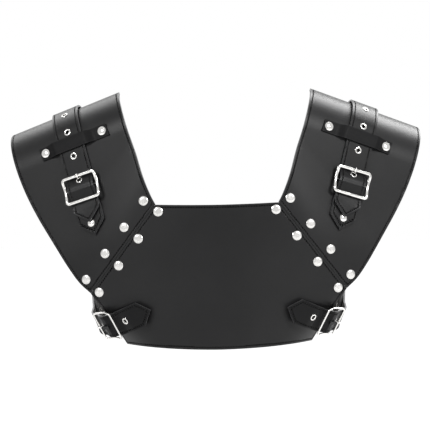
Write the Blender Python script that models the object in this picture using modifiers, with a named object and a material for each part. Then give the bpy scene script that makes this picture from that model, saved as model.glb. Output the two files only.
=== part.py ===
"""Leather chest harness: a front breast panel and two shoulder panels joined by riveted backing
strips, and a one-piece back panel, held together by four buckled straps.

Metres, +Z up. The front faces -Y and +X is to the right as seen from the front. The origin is the
middle of the neck opening at the height of the shoulders, where the wearer carries the harness.
Places are first worked out from the middle of the front hem, for the +X side, and mirrored for -X.
"""
import math

import bmesh
import bpy
from mathutils import Matrix, Vector

MM = 0.001
SIDES = {"left": -1, "right": 1}

# Gaps kept between pieces that touch
REST_GAP = 0.3 * MM
BACKING_GAP = 0.5 * MM
TAIL_GAP = 0.9 * MM
HOLE_GAP = 0.35 * MM
OVERRUN = 3 * MM
PROBE = 0.5 * MM

# Leather
PANEL_THICK = 2.6 * MM
BACKING_THICK = 2.2 * MM
STRAP_THICK = 2.1 * MM
CHAPE_THICK = 1.6 * MM
KEEPER_THICK = 2.0 * MM

# Origin, from the middle of the front hem
NECK_HEIGHT = 306 * MM
NECK_DEPTH = 112 * MM

# Body that the leather is shaped on: half widths, and how far the front bows back
BODY_HALF = 149 * MM
BODY_LEVEL = 45 * MM
BODY_TAPER_SHARE = 0.244
BOW_DEPTH = 32 * MM
TUCK_DEPTH = 40 * MM
TUCK_REACH = 110 * MM
TUCK_HEIGHT = 70 * MM
TUCK_POWER = 4

# Breast panel, half outline
NECK_CORNER_X = 73 * MM
NECKLINE_Z = 172.6 * MM
NECKLINE_DIP = 1.5 * MM
SEAM_END_X = 153 * MM
SEAM_END_Z = 68.2 * MM
HEM_CORNER_X = 139.5 * MM
HEM_CORNER_Z = 50.5 * MM
FOOT_X = 111.4 * MM
FOOT_Z = 5.7 * MM
HEM_POWER = 1.7
SEAM_GAP = 0.6 * MM

# Shoulder panels, laid out along the shoulder ridge (u, outwards) and down from it (s)
RIDGE_X = 249.5 * MM
RIDGE_Z = 262.9 * MM
RIDGE_SLOPE = math.radians(19.7)
RIDGE_WIDTH = 139 * MM
BEND_RADIUS = 59 * MM
LEAN = math.radians(9)
REAR_BEND = math.radians(60)
SEAM_BLEND = 70 * MM
# How far the outer and inner edges stand out from a straight line, along the arc from ridge to seam
OUTER_EDGE_SHARES = ((0.0, -0.005), (0.14, 0.036), (0.32, 0.06), (0.44, 0.054), (0.56, 0.028),
                     (0.70, -0.02), (0.85, -0.077), (0.94, -0.125), (1.0, -0.181))
INNER_EDGE_SHARES = ((0.0, -1.02), (0.25, -0.995), (0.45, -0.976), (0.62, -0.971), (0.8, -0.9585),
                     (0.94, -0.966), (1.0, -0.9765))
REAR_TUCK_SHARE = 0.03

# Backing strip under each seam, with rivets on both sides of it
BACKING_TO_CHEST = 14 * MM
BACKING_TO_SHOULDER = 20.5 * MM
BACKING_INSET = 2 * MM
BACKING_STEP = 9 * MM
SEAM_RIVETS = 4
SEAM_RIVET_FIRST = 4.6 * MM
CHEST_RIVET_LAST = 7.7 * MM
SHOULDER_RIVET_LAST = 10.4 * MM
CHEST_RIVET_OFFSET = 7.6 * MM
SHOULDER_RIVET_OFFSET = 14 * MM

# Rivets and eyelets
CAP_RADIUS = 5.6 * MM
CAP_HEIGHT = 1.6 * MM
SHANK_RADIUS = 1.9 * MM
TAIL_RADIUS = 4.2 * MM
TAIL_HEIGHT = 1.0 * MM
CAP_ROUND_SHARES = ((0.0, 1.0), (0.76, 0.88), (1.0, 0.38))
RIVET_SIDES = 9
HOLE_SIDES = 8
EYELET_FLANGE = 4.1 * MM
EYELET_BORE = 2.5 * MM
EYELET_WALL = 0.4 * MM
EYELET_PLATE = 0.35 * MM
EYELET_FOOT = 3.5 * MM
EYELET_SEAT = 0.3 * MM
EYELET_PITCH = 30.2 * MM
EYELET_SIDES = 10

# Straps
SHOULDER_STRAP_WIDTH = 34 * MM
SIDE_STRAP_WIDTH = 30 * MM
STRAP_LIFT = 0.95 * MM
STRAP_SLOPE = 0.088
STRAP_RIDGE_U = 72.9 * MM
TIP_LENGTH = 14.5 * MM
SIDE_TIP_LENGTH = 16.5 * MM
FREE_STEP = 10 * MM
BUCKLE_STEP = 3.2 * MM
FIT_FROM = 7 * MM
FIT_OVER = 12 * MM

# Keepers
KEEPER_PAST_EYELET = 15.7 * MM
KEEPER_U = 70.7 * MM
KEEPER_WIDTH = 15 * MM
KEEPER_PITCH = 73.7 * MM
KEEPER_END = 6.5 * MM
KEEPER_RAMP = 9 * MM
KEEPER_ROOM = 1.5 * MM
KEEPER_LIFT = 0.45 * MM
KEEPER_RIVET_RADIUS = 5.3 * MM

# Centre-bar buckles: t runs along the strap from the centre bar to the bar that the prong rests on
BUCKLE_S = 128.7 * MM
SHOULDER_FRAME_WIDTH = 42.5 * MM
SIDE_FRAME_WIDTH = 36 * MM
FRAME_REACH = 15.2 * MM
FRAME_WIRE = 1.9 * MM
FRAME_CORNER = 3.2 * MM
BAR_RADIUS = 1.5 * MM
RAIL_RISE = 2 * MM
BAR_SLACK = 1.4 * MM
BAR_GAP = 0.3 * MM
PRONG_RADIUS = 0.9 * MM
PRONG_SIDE_GAP = 1.0 * MM
PRONG_EYELET_T = 9.8 * MM
PRONG_SHIFT = 0.45 * MM
PRONG_TIP_T = 17.2 * MM
STRAP_RUN_IN = 18 * MM
# The keeper stands behind the second eyelet
KEEPER_S = BUCKLE_S - PRONG_EYELET_T - EYELET_PITCH - KEEPER_PAST_EYELET

# Chapes: leather folded round the centre bar, with a pointed upper layer
CHAPE_WIDTH = 30 * MM
CHAPE_END_WIDTH = 34.5 * MM
SIDE_CHAPE_WIDTH = 27 * MM
CHAPE_FLARE_T = 14 * MM
CHAPE_REACH = 58.8 * MM
CHAPE_UNDER_SHORT = 3 * MM
CHAPE_RAMP = 8 * MM
CHAPE_RIVET_T = 44.2 * MM
CHAPE_RIVET_RADIUS = 4.6 * MM
SHOULDER_TIP_T = 43.4 * MM
SHOULDER_RISE_T = 39 * MM

# Side straps and the way their buckles stand at the lower corners of the breast panel
SIDE_MEET_X = 117 * MM
SIDE_MEET_Z = 35 * MM
SIDE_RISE = math.radians(20.7)
SIDE_TIP_T = 68 * MM
SIDE_RISE_T = 35 * MM
SIDE_EYELET_T = 27.5 * MM
SIDE_CHAPE_REACH = 52 * MM
SIDE_CHAPE_TIP_LENGTH = 13 * MM
SIDE_CHAPE_RIVET_T = 41 * MM
SIDE_TURN = math.radians(43)
SIDE_DIP = math.radians(31.5)
SIDE_CANT = math.radians(-5)
SIDE_LIFT = 2.4 * MM
SIDE_BED = 0.4 * MM
SIDE_JOIN = 8 * MM
WING_MEET_Y = 84 * MM
WING_MEET_Z = 38 * MM
WING_RISE = 0.3
WING_RUN = 46 * MM
WING_RIVET_INSET = 14 * MM

# Back panel, worked out from its middle (turn 0) round to the side (turn 1) and the wing (turn 2)
BACK_DEPTH = 232 * MM
BACK_CENTRE_Y = 130 * MM
BACK_POWER = 2.6
WING_EDGE_Y = 88 * MM
BACK_TOP_SHARES = ((0.0, 0.79), (0.26, 0.82), (0.45, 1.0), (0.61, 1.0), (1.0, 0.5), (2.0, 0.36))
BACK_TOP_Z = 208 * MM
BACK_HEM_Z = 9 * MM
WING_HEM_Z = 21 * MM
ARM_TURN = 0.53
ARM_MARGIN = 3 * MM
ARM_OVERLAP = 46 * MM
ARM_RIVET_INSET = 14 * MM


def lerp(a, b, share):
    return a + (b - a) * share


def smooth(share):
    share = min(max(share, 0), 1)
    return share * share * (3 - 2 * share)


def along_table(table, share, ease=float):
    """A value read from (place, value) pairs, on straight or eased lines between them."""
    for (a, low), (b, high) in zip(table, table[1:]):
        if share <= b:
            return lerp(low, high, ease((share - a) / (b - a)))
    return table[-1][1]


def placed(point, side):
    """A place measured from the hem on the +X side, in the object's frame on the asked side."""
    return Vector((side * point.x, point.y - NECK_DEPTH, point.z - NECK_HEIGHT))


# The leather's outer surface

def body_half(z):
    return BODY_HALF + BODY_TAPER_SHARE * (z - BODY_LEVEL)


def chest_depth(x, z):
    """How far back the breast panel's outer face is at a place seen from the front."""
    low = max(TUCK_HEIGHT - z, 0) / TUCK_HEIGHT
    return BOW_DEPTH * (x / body_half(z)) ** 2 + TUCK_DEPTH * (x / TUCK_REACH) ** TUCK_POWER * low ** 2


BEND_TURN = math.pi / 2 - LEAN
BEND_END = BEND_RADIUS * BEND_TURN
BEND_DROP = BEND_RADIUS * (1 - math.cos(BEND_TURN))
BEND_FORWARD = BEND_RADIUS * math.sin(BEND_TURN)


def drop_of(s):
    if s > BEND_END:
        return BEND_DROP + (s - BEND_END) * math.cos(LEAN)
    return BEND_RADIUS * (1 - math.cos(s / BEND_RADIUS))


def forward_of(s):
    if s > BEND_END:
        return BEND_FORWARD + (s - BEND_END) * math.sin(LEAN)
    return BEND_RADIUS * math.sin(s / BEND_RADIUS)


def arc_of_drop(drop):
    """The arc from the ridge to a drop on the straight front of a shoulder panel."""
    return BEND_END + (drop - BEND_DROP) / math.cos(LEAN)


def seen(u, drop):
    """The x and z of a place given along and below the shoulder ridge."""
    x = RIDGE_X + u * math.cos(RIDGE_SLOPE) - drop * math.sin(RIDGE_SLOPE)
    z = RIDGE_Z - u * math.sin(RIDGE_SLOPE) - drop * math.cos(RIDGE_SLOPE)
    return x, z


def along_ridge(x, z):
    """The u and the drop of a place seen at x and z."""
    dx, dz = x - RIDGE_X, z - RIDGE_Z
    u = dx * math.cos(RIDGE_SLOPE) - dz * math.sin(RIDGE_SLOPE)
    return u, -dx * math.sin(RIDGE_SLOPE) - dz * math.cos(RIDGE_SLOPE)


NECK_U, NECK_DROP = along_ridge(NECK_CORNER_X, NECKLINE_Z)
END_U, END_DROP = along_ridge(SEAM_END_X, SEAM_END_Z)
NECK_Y = chest_depth(NECK_CORNER_X, NECKLINE_Z) + forward_of(arc_of_drop(NECK_DROP))
END_Y = chest_depth(SEAM_END_X, SEAM_END_Z) + forward_of(arc_of_drop(END_DROP))
RIDGE_SWEEP = (END_Y - NECK_Y) / (END_U - NECK_U)
RIDGE_Y = NECK_Y - RIDGE_SWEEP * NECK_U

SEAM_START = Vector((NECK_CORNER_X, NECKLINE_Z))
SEAM_RUN = Vector((SEAM_END_X, SEAM_END_Z)) - SEAM_START
SEAM_LENGTH = SEAM_RUN.length
SEAM_ALONG = SEAM_RUN.normalized()
SEAM_UP = Vector((-SEAM_ALONG.y, SEAM_ALONG.x))


def shoulder_base(s, u):
    """A place on the outer face of the +X shoulder panel. It runs into the breast panel's shape."""
    x, z = seen(u, drop_of(s))
    y = RIDGE_Y + RIDGE_SWEEP * u - forward_of(s)
    height = (Vector((x, z)) - SEAM_START).dot(SEAM_UP)
    if s > 0:
        y += (1 - smooth(height / SEAM_BLEND)) * (chest_depth(x, z) - y)
    return Vector((x, y, z))


def front_base(x, z):
    """A place on the outer face of whichever front panel covers x and z below the shoulder bend."""
    if (Vector((x, z)) - SEAM_START).dot(SEAM_UP) <= 0:
        return Vector((x, chest_depth(x, z), z))
    u, drop = along_ridge(x, z)
    return shoulder_base(arc_of_drop(drop), u)


def back_base(turn, z):
    """A place on the outer face of the back panel."""
    half = body_half(z)
    round_to = min(turn, 1) * math.pi / 2
    x = half * math.sin(round_to) ** (2 / BACK_POWER)
    y = BACK_CENTRE_Y + (BACK_DEPTH - BACK_CENTRE_Y) * max(math.cos(round_to), 0) ** (2 / BACK_POWER)
    y = y - max(turn - 1, 0) * (BACK_CENTRE_Y - WING_EDGE_Y)
    return Vector((x, y, z))


def wing_base(y, z):
    return Vector((body_half(z), y, z))


def outward(base, a, b, da, db, outer):
    """A surface's unit normal at a and b, on the side that outer points to."""
    normal = (base(a + da, b) - base(a - da, b)).cross(base(a, b + db) - base(a, b - db))
    normal.normalize()
    return -normal if normal.dot(outer) < 0 else normal


FRONT = Vector((0, -1, 0))
UP = Vector((0, 0, 1))
REAR = Vector((0, 1, 0))
OUT = Vector((1, 0, 0))


def front_normal(x, z):
    return outward(front_base, x, z, PROBE, PROBE, FRONT)


def shoulder_normal(s, u):
    turn = min(s / BEND_RADIUS, math.pi / 2)
    outer = FRONT * math.sin(turn) + UP * math.cos(turn)
    return outward(shoulder_base, s, u, PROBE, PROBE, outer)


# Lines that straps and buckles lie on: a place, the way across and the outward normal at each t

def framed(place, ahead, normal):
    """A unit frame: across, along and outward at a place."""
    normal = (normal - ahead * normal.dot(ahead) / ahead.length_squared).normalized()
    across = ahead.cross(normal).normalized()
    return place, across, ahead.normalized(), normal


def strap_u(s):
    return STRAP_SLOPE * s - STRAP_RIDGE_U


def shoulder_spot(s):
    """The frame of the strap's line on the shoulder panel, with t towards the ridge."""
    place = shoulder_base(s, strap_u(s))
    ahead = shoulder_base(s - PROBE, strap_u(s - PROBE)) - shoulder_base(s + PROBE, strap_u(s + PROBE))
    return framed(place, ahead, shoulder_normal(s, strap_u(s)))


STRAP_STRETCH = (shoulder_base(BUCKLE_S - PROBE, strap_u(BUCKLE_S - PROBE))
                 - shoulder_base(BUCKLE_S + PROBE, strap_u(BUCKLE_S + PROBE))).length / (2 * PROBE)
REAR_S = -BEND_RADIUS * REAR_BEND
SHOULDER_LEAVE_T = (BUCKLE_S - REAR_S) * STRAP_STRETCH
ARM_Z = BACK_TOP_Z - ARM_MARGIN


def bridged(first, last, share, length):
    """A frame on a smooth curve that leaves one frame and meets another."""
    a, b = first[0], last[0]
    va, vb = first[2] * length, last[2] * length
    q = share
    place = (a * (2 * q ** 3 - 3 * q ** 2 + 1) + va * (q ** 3 - 2 * q ** 2 + q)
             + b * (3 * q ** 2 - 2 * q ** 3) + vb * (q ** 3 - q ** 2))
    ahead = (a * (6 * q ** 2 - 6 * q) + va * (3 * q ** 2 - 4 * q + 1)
             + b * (6 * q - 6 * q ** 2) + vb * (3 * q ** 2 - 2 * q))
    return framed(place, ahead, first[3].lerp(last[3], smooth(q)))


def arm_spot(down):
    """The frame of the strap's line on the arm of the back panel, down from its top."""
    z = ARM_Z - down
    place = back_base(ARM_TURN, z)
    ahead = back_base(ARM_TURN, z - PROBE) - back_base(ARM_TURN, z + PROBE)
    return framed(place, ahead, outward(back_base, ARM_TURN, z, PROBE / BACK_DEPTH, PROBE, REAR))


BRIDGE_LENGTH = (arm_spot(0)[0] - shoulder_spot(REAR_S)[0]).length


def shoulder_line(t):
    """The frame at t along the shoulder strap, from its buckle over the ridge to the back."""
    if t <= SHOULDER_LEAVE_T:
        return shoulder_spot(BUCKLE_S - t / STRAP_STRETCH)
    past = t - SHOULDER_LEAVE_T
    if past < BRIDGE_LENGTH:
        return bridged(shoulder_spot(REAR_S), arm_spot(0), past / BRIDGE_LENGTH, BRIDGE_LENGTH)
    return arm_spot(past - BRIDGE_LENGTH)


SIDE_MEET = Vector((SIDE_MEET_X, SIDE_MEET_Z))
SIDE_NORMAL = Vector((math.sin(SIDE_TURN) * math.cos(SIDE_DIP), -math.cos(SIDE_TURN) * math.cos(SIDE_DIP),
                      -math.sin(SIDE_DIP)))
SIDE_LEVEL = UP.cross(SIDE_NORMAL).normalized()
SIDE_AHEAD = Matrix.Rotation(SIDE_CANT, 3, SIDE_NORMAL) @ SIDE_LEVEL
SIDE_CENTRE = (front_base(*SIDE_MEET) + SIDE_AHEAD * FRAME_REACH + SIDE_NORMAL * SIDE_LIFT)


def tip_spot(back):
    """The frame of the side strap's line on the breast panel, back from the hem towards the middle."""
    level = FRAME_REACH + SIDE_JOIN
    run = 1 / math.hypot(1, math.hypot(*slope_at(SIDE_MEET)) * 0.75)
    seen_run = (back - level) * run + SIDE_JOIN * run
    spot = SIDE_MEET + Vector((-math.cos(SIDE_RISE), math.sin(SIDE_RISE))) * seen_run
    step = Vector((math.cos(SIDE_RISE), -math.sin(SIDE_RISE))) * PROBE
    ahead = front_base(*(spot + step)) - front_base(*(spot - step))
    normal = front_normal(*spot)
    return framed(front_base(*spot) + normal * SIDE_BED, ahead, normal)


def slope_at(spot):
    """How steeply the breast panel falls back across and up at a place."""
    here = chest_depth(spot.x, spot.y)
    return ((chest_depth(spot.x + PROBE, spot.y) - here) / PROBE,
            (chest_depth(spot.x, spot.y + PROBE) - here) / PROBE)


def buckle_spot(t):
    return framed(SIDE_CENTRE + SIDE_AHEAD * t, SIDE_AHEAD, SIDE_NORMAL)


def wing_spot(along):
    """The frame of the side strap's line on the back panel's wing."""
    y, z = WING_MEET_Y + along, WING_MEET_Z + along * WING_RISE
    ahead = wing_base(y + PROBE, z + PROBE * WING_RISE) - wing_base(y, z)
    return framed(wing_base(y, z), ahead, outward(wing_base, y, z, PROBE, PROBE, OUT))


SIDE_FLAT = FRAME_REACH + FRAME_WIRE
WING_BRIDGE = (wing_spot(0)[0] - buckle_spot(SIDE_FLAT)[0]).length


def side_line(t):
    """The frame at t along the side strap, from its tip on the breast panel round to the wing."""
    if t < -FRAME_REACH - SIDE_JOIN:
        return tip_spot(-t)
    if t < -FRAME_REACH + FRAME_WIRE:
        first, last = tip_spot(FRAME_REACH + SIDE_JOIN), buckle_spot(-FRAME_REACH + FRAME_WIRE)
        span = SIDE_JOIN + FRAME_WIRE
        return bridged(first, last, (t + FRAME_REACH + SIDE_JOIN) / span, span)
    if t <= SIDE_FLAT:
        return buckle_spot(t)
    if t < SIDE_FLAT + WING_BRIDGE:
        return bridged(buckle_spot(SIDE_FLAT), wing_spot(0), (t - SIDE_FLAT) / WING_BRIDGE, WING_BRIDGE)
    return wing_spot(t - SIDE_FLAT - WING_BRIDGE)


def lifted(spot, across, height):
    """The place beside and above a line's frame."""
    return spot[0] + spot[1] * across + spot[3] * height


def fitted(spot, t, across, height):
    """The same, but past the buckle it lies on the front panels' own shape."""
    place = lifted(spot, across, 0)
    middle = (front_base(spot[0].x, spot[0].z).y - spot[0].y) * -spot[3].y
    stand = (front_base(place.x, place.z).y - place.y) * -spot[3].y
    share = smooth((-t - FIT_FROM) / FIT_OVER)
    return place + spot[3] * (height - (stand - middle) * share)


# Heights of the stack at a buckle, above the leather that carries it

HOOK_RADIUS = BAR_RADIUS + BAR_GAP + PRONG_RADIUS
AXIS_HEIGHT = HOOK_RADIUS + PRONG_RADIUS + REST_GAP
FOLD_RADIUS = BAR_RADIUS + BAR_GAP + CHAPE_THICK / 2
UNDER_HEIGHT = REST_GAP + CHAPE_THICK / 2
UPPER_HEIGHT = UNDER_HEIGHT + CHAPE_THICK + REST_GAP
CHAPE_TOP = UPPER_HEIGHT + CHAPE_THICK / 2
CREST = AXIS_HEIGHT + HOOK_RADIUS + PRONG_RADIUS + REST_GAP
TIP_HEIGHT = CHAPE_TOP + 2 * REST_GAP + CAP_HEIGHT


def strap_height(t, rise_t):
    """The height of a strap's underside: over the centre bar, then down to the panel or the chape,
    and up again over the head of the chape's rivet at rise_t."""
    if t >= 0:
        return lerp(STRAP_LIFT, CREST, 0.5 + 0.5 * math.cos(math.pi * min(t / STRAP_RUN_IN, 1)))
    low = CHAPE_TOP + REST_GAP
    if t > -FRAME_REACH:
        return lerp(low, CREST, 0.5 + 0.5 * math.cos(math.pi * t / FRAME_REACH))
    return lerp(low, TIP_HEIGHT, smooth((-t - FRAME_REACH) / (rise_t - FRAME_REACH)))


TOP_BAR_HEIGHT = (strap_height(FRAME_REACH, SHOULDER_RISE_T) + STRAP_THICK * 1.1 + BAR_SLACK
                  + FRAME_WIRE - AXIS_HEIGHT)
LOW_BAR_HEIGHT = CHAPE_TOP + REST_GAP + STRAP_THICK + BAR_SLACK + FRAME_WIRE - AXIS_HEIGHT


# Making objects

def clear_scene():
    for obj in list(bpy.data.objects):
        bpy.data.objects.remove(obj, do_unlink=True)


def collection(name):
    made = bpy.data.collections.new(name)
    bpy.context.scene.collection.children.link(made)
    return made


def material(name, colour, roughness, metallic):
    made = bpy.data.materials.new(name)
    made.use_nodes = True
    shader = made.node_tree.nodes["Principled BSDF"]
    shader.inputs["Base Color"].default_value = (*colour, 1)
    shader.inputs["Roughness"].default_value = roughness
    shader.inputs["Metallic"].default_value = metallic
    return made


LEATHER_COLOUR = (0.028, 0.028, 0.029)
NICKEL_COLOUR = (0.78, 0.78, 0.79)


def leather(name):
    return material(name + "_leather", LEATHER_COLOUR, 0.45, 0)


def nickel(name):
    return material(name + "_nickel", NICKEL_COLOUR, 0.18, 1)


def new_object(name, mesh, finish, where):
    mesh.materials.append(finish)
    obj = bpy.data.objects.new(name, mesh)
    where.objects.link(obj)
    return obj


def mesh_from(bm, name):
    mesh = bpy.data.meshes.new(name)
    bm.to_mesh(mesh)
    bm.free()
    return mesh


def sheet(name, spots, outer, thickness, where):
    """Leather of one thickness behind a grid of places on its outer face, a row at a time."""
    rows, columns = len(spots), len(spots[0])
    bm = bmesh.new()
    bmesh.ops.create_grid(bm, x_segments=columns - 1, y_segments=rows - 1, size=1)
    bm.verts.ensure_lookup_table()
    for number, vert in enumerate(bm.verts):
        vert.co = spots[number // columns][number % columns]
    bm.normal_update()
    if sum(face.normal.dot(outer) for face in bm.faces) < 0:
        bmesh.ops.reverse_faces(bm, faces=bm.faces)
    obj = new_object(name, mesh_from(bm, name), leather(name), where)
    solid = obj.modifiers.new("Thickness", "SOLIDIFY")
    solid.thickness = thickness
    solid.offset = -1
    solid.use_even_offset = True
    return obj


def turned(name, profile, sides, finish, where):
    """A profile of (radius, height), from the top down its outer side, turned about Z."""
    mesh = bpy.data.meshes.new(name)
    closed = profile[0] == profile[-1]
    points = [(radius, 0, height) for radius, height in profile[closed:]]
    edges = [(i, (i + 1) % len(points)) for i in range(len(points) - 1 + closed)]
    mesh.from_pydata(points, edges, [])
    obj = new_object(name, mesh, finish, where)
    screw = obj.modifiers.new("Turn", "SCREW")
    screw.steps = screw.render_steps = sides
    screw.use_merge_vertices = True
    screw.merge_threshold = PROBE / 10
    return obj


def upright(spot, side, height=0.0):
    """The matrix that stands a piece's Z on a line's frame, with its Y along the strap."""
    place, across, ahead, normal = spot
    flip = Vector((side, 1, 1))
    ahead, normal = ahead * flip, normal * flip
    turn = Matrix((ahead.cross(normal), ahead, normal)).transposed().to_4x4()
    return Matrix.Translation(placed(place, side) + normal * height) @ turn


def hole_cutter(name, where, seats, radius, low, high):
    """One cutter with a round pin for each seat, from low to high on that seat's axis."""
    bm = bmesh.new()
    turn = Matrix.Rotation(math.pi / HOLE_SIDES, 4, "Z")
    for seat in seats:
        middle = seat @ Matrix.Translation((0, 0, (low + high) / 2)) @ turn
        bmesh.ops.create_cone(bm, cap_ends=True, segments=HOLE_SIDES, radius1=radius, radius2=radius,
                              depth=high - low, matrix=middle)
    bmesh.ops.recalc_face_normals(bm, faces=bm.faces)
    cutter = bpy.data.objects.new(name, mesh_from(bm, name))
    where.objects.link(cutter)
    return cutter


def cut(target, cutter):
    cutter.hide_render = True
    cutter.display_type = "WIRE"
    boolean = target.modifiers.new(cutter.name, "BOOLEAN")
    boolean.operation = "DIFFERENCE"
    boolean.solver = "EXACT"
    boolean.object = cutter


# Rivets and eyelets

def rivet_profile(cap_radius, grip):
    """A cap rivet: its cap's underside is at height 0 and its tail is set below the grip."""
    points = [(cap_radius * r, CAP_HEIGHT * h) for r, h in CAP_ROUND_SHARES]
    points += [(cap_radius, 0), (SHANK_RADIUS, 0), (SHANK_RADIUS, -grip), (TAIL_RADIUS, -grip)]
    points += [(TAIL_RADIUS, -grip - TAIL_HEIGHT * 0.6), (TAIL_RADIUS * 0.7, -grip - TAIL_HEIGHT)]
    return points + [(0, -grip - TAIL_HEIGHT)]


def rivet(name, seat, cap_radius, grip, where):
    obj = turned(name, rivet_profile(cap_radius, grip), RIVET_SIDES, nickel(name), where)
    obj.matrix_world = seat
    return obj


def eyelet(name, seat, where):
    """A flanged tube through a strap, its foot rolled out underneath. Height 0 is the strap's underside."""
    top = STRAP_THICK + EYELET_SEAT
    wall = EYELET_BORE + EYELET_WALL
    points = [(EYELET_BORE, top + EYELET_PLATE), (EYELET_FLANGE - EYELET_PLATE, top + EYELET_PLATE),
              (EYELET_FLANGE, top), (wall, top), (wall, -EYELET_SEAT), (EYELET_FOOT, -EYELET_SEAT),
              (EYELET_FOOT, -EYELET_SEAT - EYELET_PLATE), (EYELET_BORE, -EYELET_SEAT - EYELET_PLATE)]
    obj = turned(name, points + points[:1], EYELET_SIDES, nickel(name), where)
    obj.matrix_world = seat
    return obj


def along_seam(number, last):
    """Where a rivet of a seam row stands along it, the row ending last short of the seam's end."""
    return lerp(SEAM_RIVET_FIRST, SEAM_LENGTH - last, number / (SEAM_RIVETS - 1))


def seam_seat(side, along, offset):
    """A rivet's seat beside the seam, on the panel's outer face. Offset is positive on the shoulder."""
    spot = SEAM_START + SEAM_ALONG * along + SEAM_UP * offset
    normal = front_normal(*spot)
    ahead = UP - normal * UP.dot(normal)
    return upright(framed(front_base(*spot), ahead, normal), side, REST_GAP)


SEAM_GRIP = PANEL_THICK + BACKING_GAP + BACKING_THICK + REST_GAP + TAIL_GAP


# Panels

def rows_between(points, counts):
    """Shares of each leg of a polyline, in even steps, with every corner once."""
    made = [points[0]]
    for a, b, count in zip(points, points[1:], counts):
        made += [a.lerp(b, (i + 1) / count) for i in range(count)]
    return made


CHEST_COLUMNS = 20
HEM_ROWS = 5
CORNER_ROWS = 3
SEAM_ROWS = 8


def chest_grid():
    edge = rows_between([Vector((FOOT_X, FOOT_Z)), Vector((HEM_CORNER_X, HEM_CORNER_Z)),
                         Vector((SEAM_END_X, SEAM_END_Z)), Vector((NECK_CORNER_X, NECKLINE_Z))],
                        (HEM_ROWS, CORNER_ROWS, SEAM_ROWS))
    grid = []
    for corner in edge:
        up = (corner.y - FOOT_Z) / (NECKLINE_Z - FOOT_Z)
        row = []
        for column in range(CHEST_COLUMNS + 1):
            share = 2 * column / CHEST_COLUMNS - 1
            inward = 1 - abs(share) ** HEM_POWER
            z = corner.y - inward * lerp(FOOT_Z, NECKLINE_DIP, up)
            x = share * corner.x
            row.append(placed(Vector((x, chest_depth(x, z), z)), 1))
        grid.append(row)
    return grid


SHOULDER_COLUMNS = 10
BEND_ROWS = 15
FRONT_ROWS = 12


def edge_u(table, s, seam_s):
    tuck = REAR_TUCK_SHARE * max(-s, 0) / BEND_RADIUS if table is INNER_EDGE_SHARES else 0
    return RIDGE_WIDTH * (along_table(table, max(s, 0) / seam_s) + tuck)


def shoulder_grid(side):
    """Rows from the rear end over the bend, then down to the slanting seam."""
    gap = SEAM_UP * SEAM_GAP
    lows = []
    for corner in (SEAM_START + gap, SEAM_START + SEAM_RUN + gap):
        u, drop = along_ridge(*corner)
        lows.append(arc_of_drop(drop))
    grid = []
    for row in range(BEND_ROWS + FRONT_ROWS + 1):
        bend_s = lerp(REAR_S, BEND_END, min(row / BEND_ROWS, 1))
        down = max(row - BEND_ROWS, 0) / FRONT_ROWS
        ends = [lerp(bend_s, low, down) for low in lows]
        inner = edge_u(INNER_EDGE_SHARES, ends[0], lows[0])
        outer = edge_u(OUTER_EDGE_SHARES, ends[1], lows[1])
        places = []
        for column in range(SHOULDER_COLUMNS + 1):
            q = column / SHOULDER_COLUMNS
            places.append(placed(shoulder_base(lerp(*ends, q), lerp(inner, outer, q)), side))
        grid.append(places)
    return grid


def backing_grid(side):
    """Places on the front of the backing strip, which lies behind both panels along the seam."""
    grid = []
    rows = 10
    for row in range(rows + 1):
        along = lerp(BACKING_INSET, SEAM_LENGTH - 2 * BACKING_INSET, row / rows)
        places = []
        for offset in steps(-BACKING_TO_CHEST, BACKING_TO_SHOULDER, BACKING_STEP):
            spot = SEAM_START + SEAM_ALONG * along + SEAM_UP * offset
            behind = front_normal(*spot) * (PANEL_THICK + BACKING_GAP)
            places.append(placed(front_base(*spot) - behind, side))
        grid.append(places)
    return grid


BACK_COLUMNS = 11
WING_COLUMNS = 3
BACK_ROWS = 4


def back_grid():
    turns = [i / BACK_COLUMNS for i in range(BACK_COLUMNS + 1)]
    turns += [1 + (i + 1) / WING_COLUMNS for i in range(WING_COLUMNS)]
    grid = []
    for row in range(BACK_ROWS + 1):
        half = []
        for turn in turns:
            low = lerp(BACK_HEM_Z, WING_HEM_Z, turn / 2)
            high = BACK_TOP_Z * along_table(BACK_TOP_SHARES, turn, smooth)
            half.append(back_base(turn, lerp(low, high, row / BACK_ROWS)))
        grid.append([placed(p, -1) for p in reversed(half)] + [placed(p, 1) for p in half[1:]])
    return grid


# Straps, chapes and keepers

def steps(low, high, step):
    count = max(round((high - low) / step), 1)
    return [lerp(low, high, i / count) for i in range(count + 1)]


def edge_t(t, start, tip):
    """Where a strip's edge stands when its middle is at t, so that its first end is a point."""
    past = t - start
    return start + max(past, tip + past / 3)


def ribbon(name, line, ts, rise_t, width, side, tip, where):
    """A strap along a line from ts[0] to ts[-1], its first end pointed."""
    grid = []
    for t in ts:
        row = []
        for share in (-1, 0, 1):
            at = edge_t(t, ts[0], tip) if share else t
            height = strap_height(t, rise_t) + STRAP_THICK
            row.append(placed(fitted(line(at), at, share * width / 2, height), side))
        grid.append(row)
    middle = line(ts[0])
    return sheet(name, grid, middle[3] * Vector((side, 1, 1)), STRAP_THICK, where)


def chape_profile(reach, under):
    """The middle of the folded leather in t and height, from the tip, round the bar, to the under end."""
    start = math.radians(115)
    around = [start - math.radians(205) * i / 8 for i in range(9)]
    points = [(-reach, UPPER_HEIGHT)]
    points += [(lerp(-reach, -CHAPE_RAMP, i / 5), UPPER_HEIGHT) for i in range(1, 6)]
    points += [(FOLD_RADIUS * math.cos(a), AXIS_HEIGHT + FOLD_RADIUS * math.sin(a)) for a in around]
    points += [(-CHAPE_RAMP / 2, lerp(UNDER_HEIGHT, AXIS_HEIGHT - FOLD_RADIUS, 0.5))]
    return points + [(lerp(-CHAPE_RAMP, -under, i / 4), UNDER_HEIGHT) for i in range(5)]


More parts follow.
